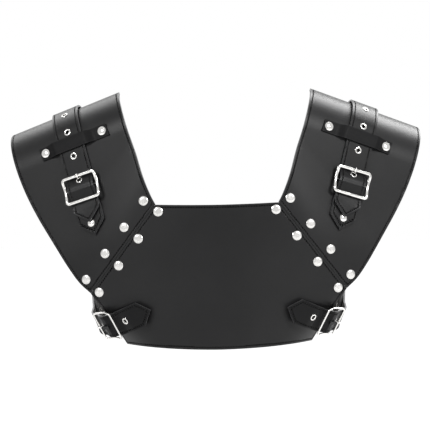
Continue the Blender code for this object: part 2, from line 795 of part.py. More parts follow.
def chape(name, line, side, widths, reach, tip, where, cutters):
    grid = []
    under = reach - CHAPE_UNDER_SHORT
    profile = chape_profile(reach, under)
    for number, (t, height) in enumerate(profile):
        row = []
        wide = lerp(*widths, smooth((-t - CHAPE_FLARE_T) / CHAPE_FLARE_T))
        for share in (-1, 0, 1):
            start = -reach if number < len(profile) / 2 else -under
            at = edge_t(t, start, tip) if share else t
            row.append(placed(fitted(line(at), at, share * wide / 2, height), side))
        grid.append(row)
    obj = sheet(name, grid, line(-reach)[3] * Vector((side, 1, 1)), CHAPE_THICK, where)
    obj.modifiers["Thickness"].offset = 0
    slot = bmesh.new()
    bmesh.ops.create_cube(slot, size=1)
    half = PRONG_RADIUS + PRONG_SIDE_GAP
    reach_t = HOOK_RADIUS + PRONG_RADIUS + PRONG_SIDE_GAP
    size = Matrix.Diagonal((2 * half, 2 * reach_t, 4 * AXIS_HEIGHT, 1))
    cutter = bpy.data.objects.new(name + "_slot", mesh_from(slot, name + "_slot"))
    cutters.objects.link(cutter)
    cutter.matrix_world = upright(line(0), side, AXIS_HEIGHT) @ size
    cut(obj, cutter)
    return obj


def keeper_spot(v):
    """The frame at v across the shoulder panel, along the keeper, which runs outwards."""
    u = v - KEEPER_U
    ahead = shoulder_base(KEEPER_S, u + PROBE) - shoulder_base(KEEPER_S, u - PROBE)
    return framed(shoulder_base(KEEPER_S, u), ahead, shoulder_normal(KEEPER_S, u))


def keeper_height(v):
    """The height of the keeper's underside: flat on the panel at its ends, over the strap between."""
    strap_v = strap_u(KEEPER_S) + KEEPER_U
    beside = abs(v - strap_v) - SHOULDER_STRAP_WIDTH / 2 - KEEPER_ROOM
    over = STRAP_LIFT + STRAP_THICK + KEEPER_LIFT
    return lerp(over, REST_GAP, smooth(beside / KEEPER_RAMP))


def keeper(name, side, where):
    """The loop over the strap. Its rows run across it, bent with the shoulder panel."""
    half = KEEPER_PITCH / 2 + KEEPER_END
    strap_v = strap_u(KEEPER_S) + KEEPER_U
    flat = SHOULDER_STRAP_WIDTH / 2 + KEEPER_ROOM
    stops = steps(-half, strap_v - flat - KEEPER_RAMP, FREE_STEP)
    stops += steps(strap_v - flat - KEEPER_RAMP, strap_v - flat, KEEPER_RAMP / 4)[1:]
    stops += [strap_v + flat] + steps(strap_v + flat, strap_v + flat + KEEPER_RAMP, KEEPER_RAMP / 4)[1:]
    stops += steps(strap_v + flat + KEEPER_RAMP, half, FREE_STEP)[1:]
    grid = []
    for v in stops:
        row = []
        for share in (-0.5, 0, 0.5):
            s, u = KEEPER_S + share * KEEPER_WIDTH, v - KEEPER_U
            rise = shoulder_normal(s, u) * (keeper_height(v) + KEEPER_THICK)
            row.append(placed(shoulder_base(s, u) + rise, side))
        grid.append(row)
    return sheet(name, grid, keeper_spot(0)[3] * Vector((side, 1, 1)), KEEPER_THICK, where)


# Buckles

def tube(name, points, radius, resolution, cyclic, finish, where):
    """A round wire through points."""
    data = bpy.data.curves.new(name, "CURVE")
    data.dimensions = "3D"
    data.bevel_depth = radius
    data.bevel_resolution = resolution
    data.use_fill_caps = True
    spline = data.splines.new("POLY")
    spline.points.add(len(points) - 1)
    for point, place in zip(spline.points, points):
        point.co = Vector(place).to_4d()
    spline.use_cyclic_u = cyclic
    data.materials.append(finish)
    obj = bpy.data.objects.new(name, data)
    where.objects.link(obj)
    return obj


def as_mesh(obj):
    """The same shape as a mesh object of the same name, with its caps joined on."""
    bpy.context.view_layer.update()
    shape = obj.evaluated_get(bpy.context.evaluated_depsgraph_get())
    mesh = bpy.data.meshes.new_from_object(shape)
    bm = bmesh.new()
    bm.from_mesh(mesh)
    bmesh.ops.remove_doubles(bm, verts=bm.verts, dist=PROBE / 50)
    bmesh.ops.recalc_face_normals(bm, faces=bm.faces)
    bm.to_mesh(mesh)
    bm.free()
    made = bpy.data.objects.new(obj.name, mesh)
    obj.users_collection[0].objects.link(made)
    made.matrix_world = obj.matrix_world
    name = obj.name
    bpy.data.objects.remove(obj, do_unlink=True)
    made.name = name
    return made


def frame_points(width):
    """The outer wire, through rounded corners, dipping to the centre bar on both sides."""
    half = width / 2
    points = []
    for x, y, first in ((half, FRAME_REACH, 0), (-half, FRAME_REACH, 90), (-half, -FRAME_REACH, 180),
                        (half, -FRAME_REACH, 270)):
        height = TOP_BAR_HEIGHT if y > 0 else LOW_BAR_HEIGHT
        cx, cy = x - math.copysign(FRAME_CORNER, x), y - math.copysign(FRAME_CORNER, y)
        for step in range(4):
            a = math.radians(first + 30 * step)
            points.append((cx + FRAME_CORNER * math.cos(a), cy + FRAME_CORNER * math.sin(a), height))
        if first == 90:
            points += [(-half, y / 3, RAIL_RISE), (-half, -y / 3, RAIL_RISE)]
    return points + [(half, -FRAME_REACH / 3, RAIL_RISE), (half, FRAME_REACH / 3, RAIL_RISE)]


def buckle_frame(name, seat, width, where, cutters):
    """The outer wire with the centre bar joined across it, made about the centre bar's axis."""
    outer = as_mesh(tube(name, frame_points(width), FRAME_WIRE, 2, True, nickel(name), where))
    half = width / 2
    bar = as_mesh(tube(name + "_bar", [(-half, 0, 0), (half, 0, 0)], BAR_RADIUS, 2, False,
                       nickel(name + "_bar"), cutters))
    for obj in (outer, bar):
        obj.matrix_world = seat
    bar.hide_render = True
    bar.display_type = "WIRE"
    joined = outer.modifiers.new("Centre bar", "BOOLEAN")
    joined.operation = "UNION"
    joined.solver = "EXACT"
    joined.object = bar
    return outer


def prong_points():
    """A hook round the centre bar, then up through the strap's eyelet and over the top bar."""
    hook = [math.radians(20 + 25 * i) for i in range(11)]
    points = [(0, HOOK_RADIUS * math.cos(a), HOOK_RADIUS * math.sin(a)) for a in hook]
    through = PRONG_EYELET_T + PRONG_SHIFT
    level = strap_height(through, SHOULDER_RISE_T) + STRAP_THICK / 2 - AXIS_HEIGHT
    over = TOP_BAR_HEIGHT + FRAME_WIRE + PRONG_RADIUS + BACKING_GAP
    points += [(0, HOOK_RADIUS, lerp(-HOOK_RADIUS, level, 0.12)),
               (0, lerp(HOOK_RADIUS, through, 0.58), lerp(-HOOK_RADIUS, level, 0.48)),
               (0, through, level),
               (0, lerp(through, FRAME_REACH, 0.54), lerp(level, over, 0.87)),
               (0, FRAME_REACH, over), (0, PRONG_TIP_T, over + REST_GAP)]
    return points


def prong(name, seat, where):
    obj = as_mesh(tube(name, prong_points(), PRONG_RADIUS, 1, False, nickel(name), where))
    obj.matrix_world = seat
    return obj


# The harness

def seats_on(line, side, t, height):
    return upright(line(t), side, height)


def tilted_seat(line, side, t, rise_t):
    """A seat on a strap's underside where it rises over the buckle, square to the strap there."""
    rise = strap_height(t + PROBE, rise_t) - strap_height(t - PROBE, rise_t)
    tilt = Matrix.Rotation(math.atan2(rise, 2 * PROBE), 4, "X")
    return upright(line(t), side, strap_height(t, rise_t) + STRAP_THICK) @ tilt @ Matrix.Translation(
        (0, 0, -STRAP_THICK))


def side_names(side):
    return "left" if side < 0 else "right"


def front_and_seams(parts, cutters):
    chest = sheet("chest_panel", chest_grid(), FRONT, PANEL_THICK, parts)
    panels = {}
    chest_seats = []
    for word, side in SIDES.items():
        outer = Vector((side, -1, 1))
        panel = sheet(f"shoulder_panel_{word}", shoulder_grid(side), outer, PANEL_THICK, parts)
        strip = sheet(f"seam_strip_{word}", backing_grid(side), FRONT, BACKING_THICK, parts)
        low, high = [], []
        for number in range(SEAM_RIVETS):
            low.append(seam_seat(side, along_seam(number, CHEST_RIVET_LAST), -CHEST_RIVET_OFFSET))
            high.append(seam_seat(side, along_seam(number, SHOULDER_RIVET_LAST), SHOULDER_RIVET_OFFSET))
        for number, (a, b) in enumerate(zip(low, high), 1):
            rivet(f"chest_rivet_{word}_{number}", a, CAP_RADIUS, SEAM_GRIP, parts)
            rivet(f"shoulder_rivet_{word}_{number}", b, CAP_RADIUS, SEAM_GRIP, parts)
        pin = (SHANK_RADIUS + HOLE_GAP, -SEAM_GRIP - OVERRUN, OVERRUN)
        cut(strip, hole_cutter(f"seam_strip_{word}_holes", cutters, low + high, *pin))
        cut(panel, hole_cutter(f"shoulder_panel_{word}_seam_holes", cutters, high, *pin))
        chest_seats += low
        panels[side] = panel
    cut(chest, hole_cutter("chest_panel_seam_holes", cutters, chest_seats, *pin))
    return chest, panels


def buckle_set(prefix, line, side, width, chape_widths, reach, tip, rivet_t, panel, parts, cutters):
    """Chape, rivet, frame and prong on a strap's line."""
    word = side_names(side)
    seat = upright(line(0), side, AXIS_HEIGHT)
    leather_part = chape(f"{prefix}_chape_{word}", line, side, chape_widths, reach, tip, parts, cutters)
    buckle_frame(f"{prefix}_buckle_{word}", seat, width, parts, cutters)
    prong(f"{prefix}_prong_{word}", seat, parts)
    top = upright(line(-rivet_t), side, CHAPE_TOP + REST_GAP)
    grip = CHAPE_TOP + REST_GAP + PANEL_THICK + SIDE_BED + TAIL_GAP
    rivet(f"{prefix}_chape_rivet_{word}", top, CHAPE_RIVET_RADIUS, grip, parts)
    pin = (SHANK_RADIUS + HOLE_GAP, -grip - OVERRUN, OVERRUN)
    cut(leather_part, hole_cutter(f"{prefix}_chape_{word}_hole", cutters, [top], *pin))
    cut(panel, hole_cutter(f"{prefix}_panel_{word}_hole", cutters, [top], *pin))


def strap_holes(strap, name, seats, cutters):
    wall = EYELET_BORE + EYELET_WALL + HOLE_GAP
    cut(strap, hole_cutter(name, cutters, seats, wall, -OVERRUN, STRAP_THICK + OVERRUN))


def shoulder_fittings(side, panel, back, parts, cutters):
    word = side_names(side)
    buckle_set("shoulder", shoulder_line, side, SHOULDER_FRAME_WIDTH, (CHAPE_WIDTH, CHAPE_END_WIDTH),
               CHAPE_REACH, TIP_LENGTH, CHAPE_RIVET_T, panel, parts, cutters)
    end_t = SHOULDER_LEAVE_T + BRIDGE_LENGTH + ARM_OVERLAP
    ts = steps(-SHOULDER_TIP_T, -FRAME_REACH, FREE_STEP / 2)
    ts += steps(-FRAME_REACH, STRAP_RUN_IN, BUCKLE_STEP)[1:] + steps(STRAP_RUN_IN, end_t, FREE_STEP)[1:]
    strap = ribbon(f"shoulder_strap_{word}", shoulder_line, ts, SHOULDER_RISE_T, SHOULDER_STRAP_WIDTH, side,
                   TIP_LENGTH, parts)
    spots = [PRONG_EYELET_T + EYELET_PITCH * i for i in range(4)]
    seats = [tilted_seat(shoulder_line, side, t, SHOULDER_RISE_T) for t in spots]
    strap_holes(strap, f"shoulder_strap_{word}_holes", seats, cutters)
    eyelet(f"shoulder_prong_eyelet_{word}", seats[0], parts)
    eyelet(f"shoulder_eyelet_{word}", seats[1], parts)
    anchor("shoulder", shoulder_line, side, end_t - ARM_RIVET_INSET, strap, back, parts, cutters)
    loop = keeper(f"keeper_{word}", side, parts)
    grip = REST_GAP + KEEPER_THICK + REST_GAP + PANEL_THICK + TAIL_GAP
    pin = (SHANK_RADIUS + HOLE_GAP, -grip - OVERRUN, OVERRUN)
    ends = {"inner": -KEEPER_PITCH / 2, "outer": KEEPER_PITCH / 2}
    rise = 2 * REST_GAP + KEEPER_THICK
    holders = [upright(keeper_spot(v), side, rise) for v in ends.values()]
    for end, seat in zip(ends, holders):
        rivet(f"keeper_rivet_{word}_{end}", seat, KEEPER_RIVET_RADIUS, grip, parts)
    cut(loop, hole_cutter(f"keeper_{word}_holes", cutters, holders, *pin))
    cut(panel, hole_cutter(f"shoulder_panel_{word}_keeper_holes", cutters, holders, *pin))


def anchor(prefix, line, side, t, strap, back, parts, cutters):
    """The rivet that holds a strap's plain end to the back panel."""
    word = side_names(side)
    seat = upright(line(t), side, STRAP_LIFT + STRAP_THICK + REST_GAP)
    grip = STRAP_LIFT + STRAP_THICK + REST_GAP + PANEL_THICK + TAIL_GAP
    rivet(f"{prefix}_strap_rivet_{word}", seat, CAP_RADIUS, grip, parts)
    pin = (SHANK_RADIUS + HOLE_GAP, -grip - OVERRUN, OVERRUN)
    cut(strap, hole_cutter(f"{prefix}_strap_{word}_anchor_hole", cutters, [seat], *pin))
    cut(back, hole_cutter(f"back_panel_{prefix}_{word}_hole", cutters, [seat], *pin))


def side_fittings(side, chest, back, parts, cutters):
    word = side_names(side)
    buckle_set("side", side_line, side, SIDE_FRAME_WIDTH, (SIDE_CHAPE_WIDTH, SIDE_CHAPE_WIDTH),
               SIDE_CHAPE_REACH, SIDE_CHAPE_TIP_LENGTH, SIDE_CHAPE_RIVET_T, chest, parts, cutters)
    end_t = SIDE_FLAT + WING_BRIDGE + WING_RUN
    ts = steps(-SIDE_TIP_T, -FRAME_REACH - SIDE_JOIN, FREE_STEP / 2)
    ts += steps(-FRAME_REACH - SIDE_JOIN, STRAP_RUN_IN, BUCKLE_STEP)[1:]
    ts += steps(STRAP_RUN_IN, end_t, FREE_STEP / 1.5)[1:]
    strap = ribbon(f"side_strap_{word}", side_line, ts, SIDE_RISE_T, SIDE_STRAP_WIDTH, side, SIDE_TIP_LENGTH,
                   parts)
    seats = [tilted_seat(side_line, side, t, SIDE_RISE_T) for t in (PRONG_EYELET_T, -SIDE_EYELET_T)]
    strap_holes(strap, f"side_strap_{word}_holes", seats, cutters)
    eyelet(f"side_prong_eyelet_{word}", seats[0], parts)
    eyelet(f"side_eyelet_{word}", seats[1], parts)
    anchor("side", side_line, side, end_t - WING_RIVET_INSET, strap, back, parts, cutters)


def build():
    clear_scene()
    parts = collection("leather_chest_harness")
    cutters = collection("cutters")
    chest, panels = front_and_seams(parts, cutters)
    back = sheet("back_panel", back_grid(), REAR, PANEL_THICK, parts)
    for side in SIDES.values():
        shoulder_fittings(side, panels[side], back, parts, cutters)
        side_fittings(side, chest, back, parts, cutters)
    bpy.context.view_layer.update()
    for obj in parts.objects:
        obj.data.shade_smooth()
        obj.data.set_sharp_from_angle(angle=math.radians(35))


build()
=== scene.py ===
# %% [markdown]
# # A black leather chest harness
# The real object is cut from flat leather about 2.6 mm thick: a breast panel, two shoulder panels and a
# back. Cap rivets and four buckled straps hold them together. The lesson goes from the camera to the
# leather's shape, then to straps, metal and thread, and ends with the light.
#
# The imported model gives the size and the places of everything. Each piece here is a finer version of one
# or more of its nodes, made on the same surfaces, so nothing has to be fitted afterwards.

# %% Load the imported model
import math

import bmesh
import bpy
import numpy as np
from mathutils import Matrix, Vector


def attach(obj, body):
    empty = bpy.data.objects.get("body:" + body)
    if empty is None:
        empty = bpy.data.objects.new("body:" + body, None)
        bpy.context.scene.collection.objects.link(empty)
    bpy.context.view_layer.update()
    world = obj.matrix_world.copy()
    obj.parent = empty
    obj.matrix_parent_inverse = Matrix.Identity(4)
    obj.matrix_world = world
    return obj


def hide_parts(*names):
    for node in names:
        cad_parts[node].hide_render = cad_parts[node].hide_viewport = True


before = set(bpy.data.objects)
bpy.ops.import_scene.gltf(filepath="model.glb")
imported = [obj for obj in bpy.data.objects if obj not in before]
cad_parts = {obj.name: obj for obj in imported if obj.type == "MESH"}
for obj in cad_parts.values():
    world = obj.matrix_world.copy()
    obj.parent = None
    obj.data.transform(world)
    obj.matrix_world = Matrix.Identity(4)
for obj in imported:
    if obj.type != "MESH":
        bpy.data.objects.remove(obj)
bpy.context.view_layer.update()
ROOT = "harness"
SIDES = {"left": -1, "right": 1}

# %% [markdown]
# ## The camera
# The photograph was taken from straight in front with a long lens, because near and far edges of the
# shoulders show at almost one scale. The picture is turned a little about the line of sight, so the
# camera is rolled about the middle of the object.

# %% Place the camera
CAMERA_DISTANCE = 2.5
CAMERA_VIEW_WIDTH = 0.5074
CAMERA_AT = Vector((-0.00307, -2.612, -0.147))
CAMERA_ROLL = math.radians(1.15)
ROLL_CENTRE = Vector((0, -0.112, -0.1706))
SENSOR = 36

camera_data = bpy.data.cameras.new("photo_camera")
camera_data.sensor_width = SENSOR
camera_data.lens = SENSOR * CAMERA_DISTANCE / CAMERA_VIEW_WIDTH
camera = bpy.data.objects.new("photo_camera", camera_data)
bpy.context.scene.collection.objects.link(camera)
level_view = Matrix.Translation(CAMERA_AT) @ Matrix.Rotation(math.radians(90), 4, "X")
to_centre = Matrix.Translation(ROLL_CENTRE)
roll = to_centre @ Matrix.Rotation(CAMERA_ROLL, 4, "Y") @ to_centre.inverted()
camera.matrix_world = roll @ level_view
bpy.context.scene.camera = camera
print("lens", round(camera_data.lens, 1), "mm")

# %% [markdown]
# ## The body under the leather
# Leather has no shape of its own: it takes the wearer's. So the first thing to write is the torso, as a
# few formulas for the outer face of the leather. Places are measured from the middle of the front hem,
# for the right side, and mirrored for the left.

# %% Small helpers for shapes
NECK_HEIGHT = 0.306
NECK_DEPTH = 0.112
FRONT = Vector((0, -1, 0))
UP = Vector((0, 0, 1))
REAR = Vector((0, 1, 0))
OUT = Vector((1, 0, 0))
PROBE = 0.0005


def mixed(a, b, share):
    return a + (b - a) * share


def eased(share):
    share = min(max(share, 0), 1)
    return share * share * (3 - 2 * share)


def from_table(table, place):
    """A value eased between the (place, value) pairs of a table."""
    for (a, low), (b, high) in zip(table, table[1:]):
        if place <= b:
            return mixed(low, high, eased((place - a) / (b - a)))
    return table[-1][1]


def hermite(a, leaving, b, arriving, q):
    """A curve from a to b with given slopes at both ends, read at the share q of the way."""
    return (a * (2 * q ** 3 - 3 * q ** 2 + 1) + leaving * (q ** 3 - 2 * q ** 2 + q)
            + b * (3 * q ** 2 - 2 * q ** 3) + arriving * (q ** 3 - q ** 2))


def placed(point, side):
    """A place measured from the hem, moved into the object's frame on the asked side."""
    return Vector((side * point.x, point.y - NECK_DEPTH, point.z - NECK_HEIGHT))


# %% The front of the chest
BODY_HALF = 0.149
BODY_LEVEL = 0.045
BODY_TAPER = 0.244
BOW_DEPTH = 0.032
TUCK_DEPTH = 0.040
TUCK_REACH = 0.110
TUCK_HEIGHT = 0.070
TUCK_POWER = 4


def body_half(z):
    return BODY_HALF + BODY_TAPER * (z - BODY_LEVEL)


def chest_depth(x, z):
    """How far back the breast panel lies, with its lower corners tucked round the ribs."""
    low = max(TUCK_HEIGHT - z, 0) / TUCK_HEIGHT
    return BOW_DEPTH * (x / body_half(z)) ** 2 + TUCK_DEPTH * (x / TUCK_REACH) ** TUCK_POWER * low ** 2


# %% The shoulders
RIDGE_X = 0.2495
RIDGE_Z = 0.2629
RIDGE_SLOPE = math.radians(19.7)
BEND_RADIUS = 0.059
LEAN = math.radians(9)
REAR_BEND = math.radians(60)
SEAM_BLEND = 0.070
NECK_CORNER = Vector((0.073, 0.1726))
SEAM_END = Vector((0.153, 0.0682))
BEND_TURN = math.pi / 2 - LEAN
BEND_END = BEND_RADIUS * BEND_TURN
REAR_S = -BEND_RADIUS * REAR_BEND


def drop_of(s):
    """How far below the ridge a place is, s along the leather."""
    if s > BEND_END:
        return BEND_RADIUS * (1 - math.cos(BEND_TURN)) + (s - BEND_END) * math.cos(LEAN)
    return BEND_RADIUS * (1 - math.cos(s / BEND_RADIUS))


def forward_of(s):
    """How far in front of the ridge it is."""
    if s > BEND_END:
        return BEND_RADIUS * math.sin(BEND_TURN) + (s - BEND_END) * math.sin(LEAN)
    return BEND_RADIUS * math.sin(s / BEND_RADIUS)


def arc_of_drop(drop):
    return BEND_END + (drop - BEND_RADIUS * (1 - math.cos(BEND_TURN))) / math.cos(LEAN)


def seen(u, drop):
    """Where a place shows from the front, u along the ridge and drop below it."""
    x = RIDGE_X + u * math.cos(RIDGE_SLOPE) - drop * math.sin(RIDGE_SLOPE)
    return x, RIDGE_Z - u * math.sin(RIDGE_SLOPE) - drop * math.cos(RIDGE_SLOPE)


def along_ridge(x, z):
    """The other way round: u and drop of a place seen from the front."""
    dx, dz = x - RIDGE_X, z - RIDGE_Z
    u = dx * math.cos(RIDGE_SLOPE) - dz * math.sin(RIDGE_SLOPE)
    return u, -dx * math.sin(RIDGE_SLOPE) - dz * math.cos(RIDGE_SLOPE)


neck_u, neck_drop = along_ridge(*NECK_CORNER)
end_u, end_drop = along_ridge(*SEAM_END)
neck_y = chest_depth(*NECK_CORNER) + forward_of(arc_of_drop(neck_drop))
end_y = chest_depth(*SEAM_END) + forward_of(arc_of_drop(end_drop))
RIDGE_SWEEP = (end_y - neck_y) / (end_u - neck_u)
RIDGE_Y = neck_y - RIDGE_SWEEP * neck_u
SEAM_RUN = SEAM_END - NECK_CORNER
SEAM_ALONG = SEAM_RUN.normalized()
SEAM_UP = Vector((-SEAM_ALONG.y, SEAM_ALONG.x))


def shoulder_base(s, u):
    """A shoulder panel's outer face. Near the seam it runs into the shape of the breast panel."""
    x, z = seen(u, drop_of(s))
    y = RIDGE_Y + RIDGE_SWEEP * u - forward_of(s)
    height = (Vector((x, z)) - NECK_CORNER).dot(SEAM_UP)
    if s > 0:
        y += (1 - eased(height / SEAM_BLEND)) * (chest_depth(x, z) - y)
    return Vector((x, y, z))


def front_base(x, z):
    """The outer face of whichever front panel covers x and z."""
    if (Vector((x, z)) - NECK_CORNER).dot(SEAM_UP) <= 0:
        return Vector((x, chest_depth(x, z), z))
    u, drop = along_ridge(x, z)
    return shoulder_base(arc_of_drop(drop), u)


print("shoulder ridge sweeps", round(RIDGE_SWEEP, 3))

# %% The back and its wings
BACK_DEPTH = 0.232
BACK_CENTRE_Y = 0.130
BACK_POWER = 2.6
WING_EDGE_Y = 0.088


def back_base(turn, z):
    """The back panel's outer face, from its middle at turn 0 round to the wing at turn 2."""
    half = body_half(z)
    round_to = min(turn, 1) * math.pi / 2
    x = half * math.sin(round_to) ** (2 / BACK_POWER)
    y = BACK_CENTRE_Y + (BACK_DEPTH - BACK_CENTRE_Y) * max(math.cos(round_to), 0) ** (2 / BACK_POWER)
    return Vector((x, y - max(turn - 1, 0) * (BACK_CENTRE_Y - WING_EDGE_Y), z))


def wing_base(y, z):
    return Vector((body_half(z), y, z))


# %% Which way a surface faces
def facing(base, a, b, da, db, outer):
    """The unit normal at a and b, on the side that outer points to."""
    normal = (base(a + da, b) - base(a - da, b)).cross(base(a, b + db) - base(a, b - db))
    normal.normalize()
    return -normal if normal.dot(outer) < 0 else normal


def front_normal(x, z):
    return facing(front_base, x, z, PROBE, PROBE, FRONT)


def shoulder_normal(s, u):
    turn = min(s / BEND_RADIUS, math.pi / 2)
    return facing(shoulder_base, s, u, PROBE, PROBE, FRONT * math.sin(turn) + UP * math.cos(turn))

# %% [markdown]
# ## Lines for the straps
# A strap is easiest to make along a line: at each distance t from its buckle, the line gives a place, the
# way across, the way ahead and the outward normal. The shoulder line goes over the ridge to the back,
# and the side line leaves the breast panel, stands in its buckle and runs round to the wing.

# %% The shoulder strap's line
BUCKLE_S = 0.1287
STRAP_SLOPE = 0.088
STRAP_RIDGE_U = 0.0729
ARM_TURN = 0.53
ARM_Z = 0.205


def framed(place, ahead, normal):
    """A place on the line with its unit directions: across, ahead and outward."""
    normal = (normal - ahead * normal.dot(ahead) / ahead.length_squared).normalized()
    return place, ahead.cross(normal).normalized(), ahead.normalized(), normal


def strap_u(s):
    return STRAP_SLOPE * s - STRAP_RIDGE_U


def shoulder_spot(s):
    ahead = shoulder_base(s - PROBE, strap_u(s - PROBE)) - shoulder_base(s + PROBE, strap_u(s + PROBE))
    return framed(shoulder_base(s, strap_u(s)), ahead, shoulder_normal(s, strap_u(s)))


STRAP_STRETCH = (shoulder_base(BUCKLE_S - PROBE, strap_u(BUCKLE_S - PROBE))
                 - shoulder_base(BUCKLE_S + PROBE, strap_u(BUCKLE_S + PROBE))).length / (2 * PROBE)
LEAVE_T = (BUCKLE_S - REAR_S) * STRAP_STRETCH


def bridged(first, last, q, length):
    """A frame on a smooth curve that leaves one frame and meets another."""
    a, b = first[0], last[0]
    va, vb = first[2] * length, last[2] * length
    ahead = (a * (6 * q ** 2 - 6 * q) + va * (3 * q ** 2 - 4 * q + 1)
             + b * (6 * q - 6 * q ** 2) + vb * (3 * q ** 2 - 2 * q))
    return framed(hermite(a, va, b, vb, q), ahead, first[3].lerp(last[3], eased(q)))


def arm_spot(down):
    z = ARM_Z - down
    ahead = back_base(ARM_TURN, z - PROBE) - back_base(ARM_TURN, z + PROBE)
    normal = facing(back_base, ARM_TURN, z, PROBE / BACK_DEPTH, PROBE, REAR)
    return framed(back_base(ARM_TURN, z), ahead, normal)


BRIDGE_LENGTH = (arm_spot(0)[0] - shoulder_spot(REAR_S)[0]).length


def shoulder_line(t):
    if t <= LEAVE_T:
        return shoulder_spot(BUCKLE_S - t / STRAP_STRETCH)
    if t - LEAVE_T < BRIDGE_LENGTH:
        return bridged(shoulder_spot(REAR_S), arm_spot(0), (t - LEAVE_T) / BRIDGE_LENGTH, BRIDGE_LENGTH)
    return arm_spot(t - LEAVE_T - BRIDGE_LENGTH)


# %% The side strap's line
FRAME_REACH = 0.0152
FRAME_WIRE = 0.0019
SIDE_MEET = Vector((0.117, 0.035))
SIDE_RISE = math.radians(20.7)
SIDE_TURN = math.radians(43)
SIDE_DIP = math.radians(31.5)
SIDE_CANT = math.radians(-5)
SIDE_LIFT = 0.0024
SIDE_BED = 0.0004
SIDE_JOIN = 0.008
WING_MEET = Vector((0.084, 0.038))
WING_RISE = 0.3
SIDE_NORMAL = Vector((math.sin(SIDE_TURN) * math.cos(SIDE_DIP), -math.cos(SIDE_TURN) * math.cos(SIDE_DIP),
                      -math.sin(SIDE_DIP)))
SIDE_AHEAD = Matrix.Rotation(SIDE_CANT, 3, SIDE_NORMAL) @ UP.cross(SIDE_NORMAL).normalized()
SIDE_CENTRE = front_base(*SIDE_MEET) + SIDE_AHEAD * FRAME_REACH + SIDE_NORMAL * SIDE_LIFT
SIDE_FLAT = FRAME_REACH + FRAME_WIRE
TIP_SLOPE_SHARE = 0.75
meet_depth = chest_depth(*SIDE_MEET)
MEET_SLOPE = math.hypot((chest_depth(SIDE_MEET.x + PROBE, SIDE_MEET.y) - meet_depth) / PROBE,
                        (chest_depth(SIDE_MEET.x, SIDE_MEET.y + PROBE) - meet_depth) / PROBE)


def tip_spot(back):
    """The line on the breast panel, back from the buckle towards the middle."""
    run = (back - FRAME_REACH) / math.hypot(1, MEET_SLOPE * TIP_SLOPE_SHARE)
    spot = SIDE_MEET + Vector((-math.cos(SIDE_RISE), math.sin(SIDE_RISE))) * run
    step = Vector((math.cos(SIDE_RISE), -math.sin(SIDE_RISE))) * PROBE
    normal = front_normal(*spot)
    ahead = front_base(*(spot + step)) - front_base(*(spot - step))
    return framed(front_base(*spot) + normal * SIDE_BED, ahead, normal)


def buckle_spot(t):
    return framed(SIDE_CENTRE + SIDE_AHEAD * t, SIDE_AHEAD, SIDE_NORMAL)


def wing_spot(along):
    y, z = WING_MEET.x + along, WING_MEET.y + along * WING_RISE
    ahead = wing_base(y + PROBE, z + PROBE * WING_RISE) - wing_base(y, z)
    return framed(wing_base(y, z), ahead, facing(wing_base, y, z, PROBE, PROBE, OUT))


WING_BRIDGE = (wing_spot(0)[0] - buckle_spot(SIDE_FLAT)[0]).length


def side_line(t):
    if t < -FRAME_REACH - SIDE_JOIN:
        return tip_spot(-t)
    if t < -FRAME_REACH + FRAME_WIRE:
        span = SIDE_JOIN + FRAME_WIRE
        first, last = tip_spot(FRAME_REACH + SIDE_JOIN), buckle_spot(-FRAME_REACH + FRAME_WIRE)
        return bridged(first, last, (t + FRAME_REACH + SIDE_JOIN) / span, span)
    if t <= SIDE_FLAT:
        return buckle_spot(t)
    if t < SIDE_FLAT + WING_BRIDGE:
        return bridged(buckle_spot(SIDE_FLAT), wing_spot(0), (t - SIDE_FLAT) / WING_BRIDGE, WING_BRIDGE)
    return wing_spot(t - SIDE_FLAT - WING_BRIDGE)


print("strap bridges", round(BRIDGE_LENGTH, 4), round(WING_BRIDGE, 4))

# %% [markdown]
# ## Heights in a buckle
# A buckle is a stack. The leather chape is folded round the centre bar, the prong hooks on the same bar,
# and the strap climbs over both and comes down again. Working the stack out from the bar's radius keeps
# every layer clear of the next.

# %% Work out the stack
REST_GAP = 0.0003
STRAP_THICK = 0.0021
CHAPE_THICK = 0.0016
BAR_RADIUS = 0.0015
BAR_GAP = 0.0003
PRONG_RADIUS = 0.0009
STRAP_LIFT = 0.00095
STRAP_RUN_IN = 0.018
CAP_HEIGHT = 0.0016
FIT_FROM = 0.007
FIT_OVER = 0.012
HOOK_RADIUS = BAR_RADIUS + BAR_GAP + PRONG_RADIUS
AXIS_HEIGHT = HOOK_RADIUS + PRONG_RADIUS + REST_GAP
FOLD_RADIUS = BAR_RADIUS + BAR_GAP + CHAPE_THICK / 2
UNDER_HEIGHT = REST_GAP + CHAPE_THICK / 2
UPPER_HEIGHT = UNDER_HEIGHT + CHAPE_THICK + REST_GAP
CHAPE_TOP = UPPER_HEIGHT + CHAPE_THICK / 2
CREST = AXIS_HEIGHT + HOOK_RADIUS + PRONG_RADIUS + REST_GAP
TIP_HEIGHT = CHAPE_TOP + 2 * REST_GAP + CAP_HEIGHT
SHOULDER_RISE_T = 0.039
SIDE_RISE_T = 0.035
RIDGE_ARCH = 0.0012
ARCH_FROM = 0.065
ARCH_OVER = 0.014
FOLD_MARK = 0.00045


